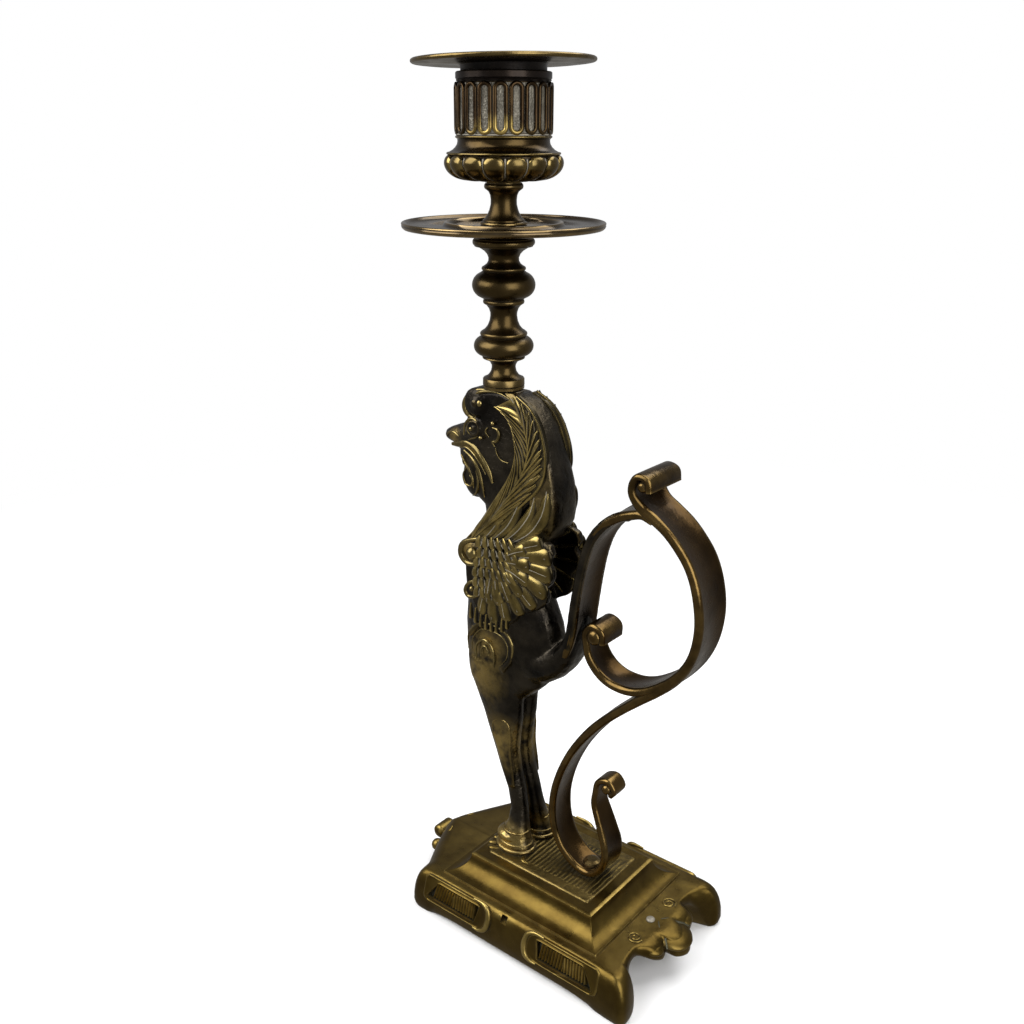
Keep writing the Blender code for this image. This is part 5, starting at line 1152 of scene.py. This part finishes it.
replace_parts(makeSkirt(baseShape), "base")
makeBlock(baseShape)
makeField(fieldShape)


def makePanels(s):
    frames, reeds, floors, rings = [], [], [], []
    for side in nearFar:
        for direction in (-1, 1):
            place = panelAt(s, side, direction)
            pad = outline(s["pad"], s["round"], 64)
            window = outline(s["window"], 0.4, 64)

            def lifted(points, z, scale=1.0):
                return [place @ Vector((p.x * scale * mm, p.y * scale * mm, z * mm)) for p in points]

            levels = [lifted(pad, -2.0), lifted(pad, 0.5), lifted(pad, 0.85, 0.985),
                      lifted(pad, 0.95, 0.955), lifted(pad, 0.75, 0.92)]
            levels += [lifted(window, 0.85, 1.06), lifted(window, 0.95, 1.03), lifted(window, 0.7),
                       lifted(window, -0.9), lifted(window, -2.0)]
            frames.append(swept(levels, looped=True))
            bow = [place @ Vector((x * mm, y * mm, 0.85 * mm)) for x, y in s["ring"]]
            out = (place.to_3x3() @ Vector((0, 0, 1))).normalized()
            rings.append(strand(bow, [0.3, 0.85, 1.1, 0.85, 0.3], [0.3, 0.8, 1.0, 0.8, 0.3], out, count=48,
                                sides=8))
            floors.append(swept([lifted(window, -1.8, 1.02), lifted(window, -0.95, 1.02)]))
            for i in range(s["reeds"]):
                x = -9.8 + 20.2 * (i + 0.5) / s["reeds"]
                bar = []
                for y, h in ((-2.9, 0.4), (-2.6, 0.84), (2.6, 0.84), (2.9, 0.4)):
                    lean = (y + 3.3) * (-0.16 if i > s["reeds"] / 2 else 0.05)
                    bar.append([place @ Vector(((x + lean + 0.52 * u) * mm, y * mm,
                                                (-1.1 + h * v * 2.1) * mm))
                                for u, v in ((-1, 0), (-0.8, 0.6), (0, 1), (0.8, 0.6), (1, 0))])
                reeds.append(swept(bar))
    joined(frames, "basePanels", "olive")
    joined(rings, "basePanelRings", "reed")
    joined(floors, "basePanelFloors", "groove")
    joined(reeds, "baseReeds", "reed")


makePanels(panelShape)

trimShape = {
    "volute": {"x": 39.3, "y": 10.9, "turns": 1.6, "size": 2.7, "wire": 0.34},
    "boss": (38.7, -0.2, 16.7, 1.6),
    "lobes": [(44.0, 9.4, 13.9, (4.8, 4.4, 1.9)), (47.5, 0, 13.6, (6.3, 6.8, 2.0))], "tilt": 14,
    "sprays": [[(-22.8, 4.6), (-25.0, 4.0), (-26.0, 1.6)], [(-23.4, 7.0), (-25.6, 7.2), (-26.4, 5.2)],
               [(-22.4, 9.4), (-24.8, 10.6), (-26.2, 9.0)], [(-20.0, 11.6), (-22.6, 13.0), (-24.6, 12.4)],
               [(-10.4, 9.2), (-9.0, 11.6), (-6.6, 12.0)]],
    "groove": [(41.4, 0.9, 16.7), (43.2, 3.0, 16.35), (45.6, 3.8, 15.75), (47.4, 5.6, 14.9),
               (49.0, 7.2, 13.4)],
    "roll": {"x": 58.6, "z": 9.4, "radius": 2.8, "half": 3.4},
    "knob": (56.2, 7.0, 6.6, 2.4),
    "leaf": [(-50.3, 4.6, 16.4), (-49.9, 7.6, 15.0), (-50.2, 11.0, 12.4), (-51.0, 14.4, 8.2)],
    "motif": [[(-2.6, 11.8), (-3.9, 10.2), (-3.3, 8.2), (-1.8, 8.6), (-2.2, 10.0)],
              [(2.2, 11.8), (3.4, 10.2), (2.8, 8.2), (1.4, 8.6)], [(-0.6, 12.6), (-0.4, 9.0), (-0.6, 5.4)]]}


def makeTrim(s):
    parts, grooves = [], []
    offset = baseShape["offset"]
    for side in nearFar:
        v = s["volute"]
        spiral = []
        for i in range(15):
            turn = 2 * math.pi * v["turns"] * i / 14
            r = v["size"] * (1 - 0.75 * i / 14)
            spiral.append(at(v["x"] + r * math.cos(turn), side * (v["y"] + r * math.sin(turn)), 16.75))
        parts.append(strand(spiral, [v["wire"]] * 2, [v["wire"]] * 2, Vector((0, 0, 1)), count=70, sides=8))
        for x, y, z, size in s["lobes"]:
            if y or side < 0:
                shell = bead(0, 0, 0, 1, size, 28)
                lean = Matrix.Rotation(math.radians(s["tilt"]), 4, "Y")
                centre = Matrix.Translation(at(0, 0, 0))
                goal = Matrix.Translation(at(x, side * y + offset, z))
                shell.data.transform(goal @ lean @ centre.inverted())
                parts.append(shell)
        for line in s["sprays"]:
            spots = [at(x, side * y, 24.75) for x, y in line]
            parts.append(strand(spots, [0.5, 1.0, 0.35], [0.4, 0.7, 0.3], Vector((0, 0, 1)), count=16,
                                sides=10))
        groove = [at(x, side * y + offset, z) for x, y, z in s["groove"]]
        grooves.append(strand(groove, [0.15, 0.42, 0.3], [0.15, 0.3, 0.25], Vector((0.5, 0, 0.86)),
                              count=30, sides=8))
        x, y, z, size = s["knob"]
        parts.append(bead(-x, side * y, z, size))
        leaf = [at(x, side * y, z) for x, y, z in s["leaf"]]
        parts.append(strand(leaf, [0.7, 1.5, 1.5, 0.6], [0.5, 0.9, 0.9, 0.4], Vector((-0.75, 0, 0.66)),
                            count=24, sides=14))
        for line in s["motif"]:
            spots = [at(x, side * (32.6 - 0.12 * (z - 4)), z) for x, z in line]
            parts.append(strand(spots, [0.25, 0.45, 0.25], [0.3, 0.5, 0.3], Vector((0, side, 0.2)),
                                count=20, sides=8))
    roll = s["roll"]
    stops = [(-roll["half"] - 0.9, 0.35), (-roll["half"] - 0.7, 0.7), (-roll["half"] - 0.1, 0.95),
             (-roll["half"] + 0.6, 1.0)]
    rings = []
    for y, share in stops + [(-y, share) for y, share in reversed(stops)]:
        r = roll["radius"] * share
        rings.append([at(-roll["x"] + r * math.cos(math.pi * i / 14), y,
                         roll["z"] + r * math.sin(math.pi * i / 14)) for i in range(28)])
    parts.append(swept(rings))
    dress(bead(*s["boss"], (1, 1, 0.5)), "baseBoss", "residue")
    joined(parts, "baseTrim", "olive")
    joined(grooves, "baseGrooves", "groove")


makeTrim(trimShape)
print("base")

# Stage, light and camera

stageShape = {
    "floor": 6.0, "paleFrom": 0.22, "paleTo": 0.6, "goal": 0.14, "floorSeen": (0.30, 0.29, 0.27, 1),
    "floorPale": 0.9, "floorRough": 0.8, "air": (0.62, 0.62, 0.63, 1), "airStrength": 0.5,
    "lights": {"key": ((-0.45, -0.55, 0.75), (0.8, 1.0), 12.0),
               "fill": ((0.75, -0.25, 0.5), (0.6, 0.9), 6.0),
               "top": ((0.1, 0.35, 0.95), (0.8, 0.8), 7.0)}}


def paleFloor(s):  # diffuse round the object for its shadow, plain white farther out
    material = bpy.data.materials.new("floorPale")
    material.use_nodes = True
    tree = material.node_tree
    shader = tree.nodes["Principled BSDF"]
    shader.inputs["Base Color"].default_value = (*[s["floorPale"]] * 3, 1)
    shader.inputs["Roughness"].default_value = s["floorRough"]
    glow = node(tree, "ShaderNodeEmission")
    away = node(tree, "ShaderNodeVectorMath", operation="LENGTH")
    link(tree, node(tree, "ShaderNodeTexCoord").outputs["Object"], away.inputs[0])
    blend = node(tree, "ShaderNodeMixShader")
    link(tree, ramp(tree, away.outputs["Value"], s["paleFrom"], s["paleTo"]), blend.inputs[0])
    link(tree, shader.outputs[0], blend.inputs[1])
    link(tree, glow.outputs[0], blend.inputs[2])
    dim = node(tree, "ShaderNodeEmission")  # what the polished metal sees of the floor
    dim.inputs["Color"].default_value = s["floorSeen"]
    mirror = node(tree, "ShaderNodeMixShader")
    link(tree, node(tree, "ShaderNodeLightPath").outputs["Is Glossy Ray"], mirror.inputs[0])
    link(tree, blend.outputs[0], mirror.inputs[1])
    link(tree, dim.outputs[0], mirror.inputs[2])
    link(tree, mirror.outputs[0], tree.nodes["Material Output"].inputs["Surface"])
    return material


def areaLight(name, place, size, power):
    data = bpy.data.lights.new(name, "AREA")
    data.shape = "RECTANGLE"
    data.size, data.size_y = size
    data.energy = power
    lamp = bpy.data.objects.new(name, data)
    bpy.context.scene.collection.objects.link(lamp)
    spot, goal = Vector(place), Vector((stemX, 0, stageShape["goal"]))
    facingGoal = (goal - spot).to_track_quat("-Z", "Y").to_matrix().to_4x4()
    lamp.matrix_world = Matrix.Translation(spot) @ facingGoal


def makeWorld(s):  # white behind the object, a plain grey for its light
    world = bpy.data.worlds.new("studio")
    bpy.context.scene.world = world
    world.use_nodes = True
    air = world.node_tree
    backdrop = air.nodes["Background"]
    backdrop.inputs["Color"].default_value = s["air"]
    backdrop.inputs["Strength"].default_value = s["airStrength"]
    white = node(air, "ShaderNodeBackground")
    white.inputs["Color"].default_value = (1, 1, 1, 1)
    choose = node(air, "ShaderNodeMixShader")
    link(air, node(air, "ShaderNodeLightPath").outputs["Is Camera Ray"], choose.inputs[0])
    link(air, backdrop.outputs[0], choose.inputs[1])
    link(air, white.outputs[0], choose.inputs[2])
    link(air, choose.outputs[0], air.nodes["World Output"].inputs["Surface"])


only()
bpy.ops.mesh.primitive_plane_add(size=stageShape["floor"], location=(0, 0, 0))
floor = bpy.context.active_object
floor.name = "floor"
floor.data.materials.append(paleFloor(stageShape))
for name, (place, size, power) in stageShape["lights"].items():
    areaLight(name, place, size, power)
makeWorld(stageShape)

cameraShape = {"place": (191.95, -266.0, 277.0), "turn": 39.09, "down": 19.89, "roll": 0.17, "lens": 37.7,
               "sensor": 36, "nearest": 0.01}


def makeCamera(s):
    data = bpy.data.cameras.new("camera")
    data.lens, data.sensor_width, data.clip_start = s["lens"], s["sensor"], s["nearest"]
    camera = bpy.data.objects.new("camera", data)
    bpy.context.scene.collection.objects.link(camera)
    a, e, r = (math.radians(s[k]) for k in ("turn", "down", "roll"))
    back = Vector((math.sin(a) * math.cos(e), -math.cos(a) * math.cos(e), math.sin(e)))
    right = Vector((math.cos(a), math.sin(a), 0))
    up = back.cross(right)
    right, up = right * math.cos(r) + up * math.sin(r), up * math.cos(r) - right * math.sin(r)
    towards = Matrix((right, up, back)).transposed().to_4x4()
    camera.matrix_world = Matrix.Translation(at(*s["place"])) @ towards
    bpy.context.scene.camera = camera


makeCamera(cameraShape)
bpy.context.scene.view_settings.view_transform = "Standard"
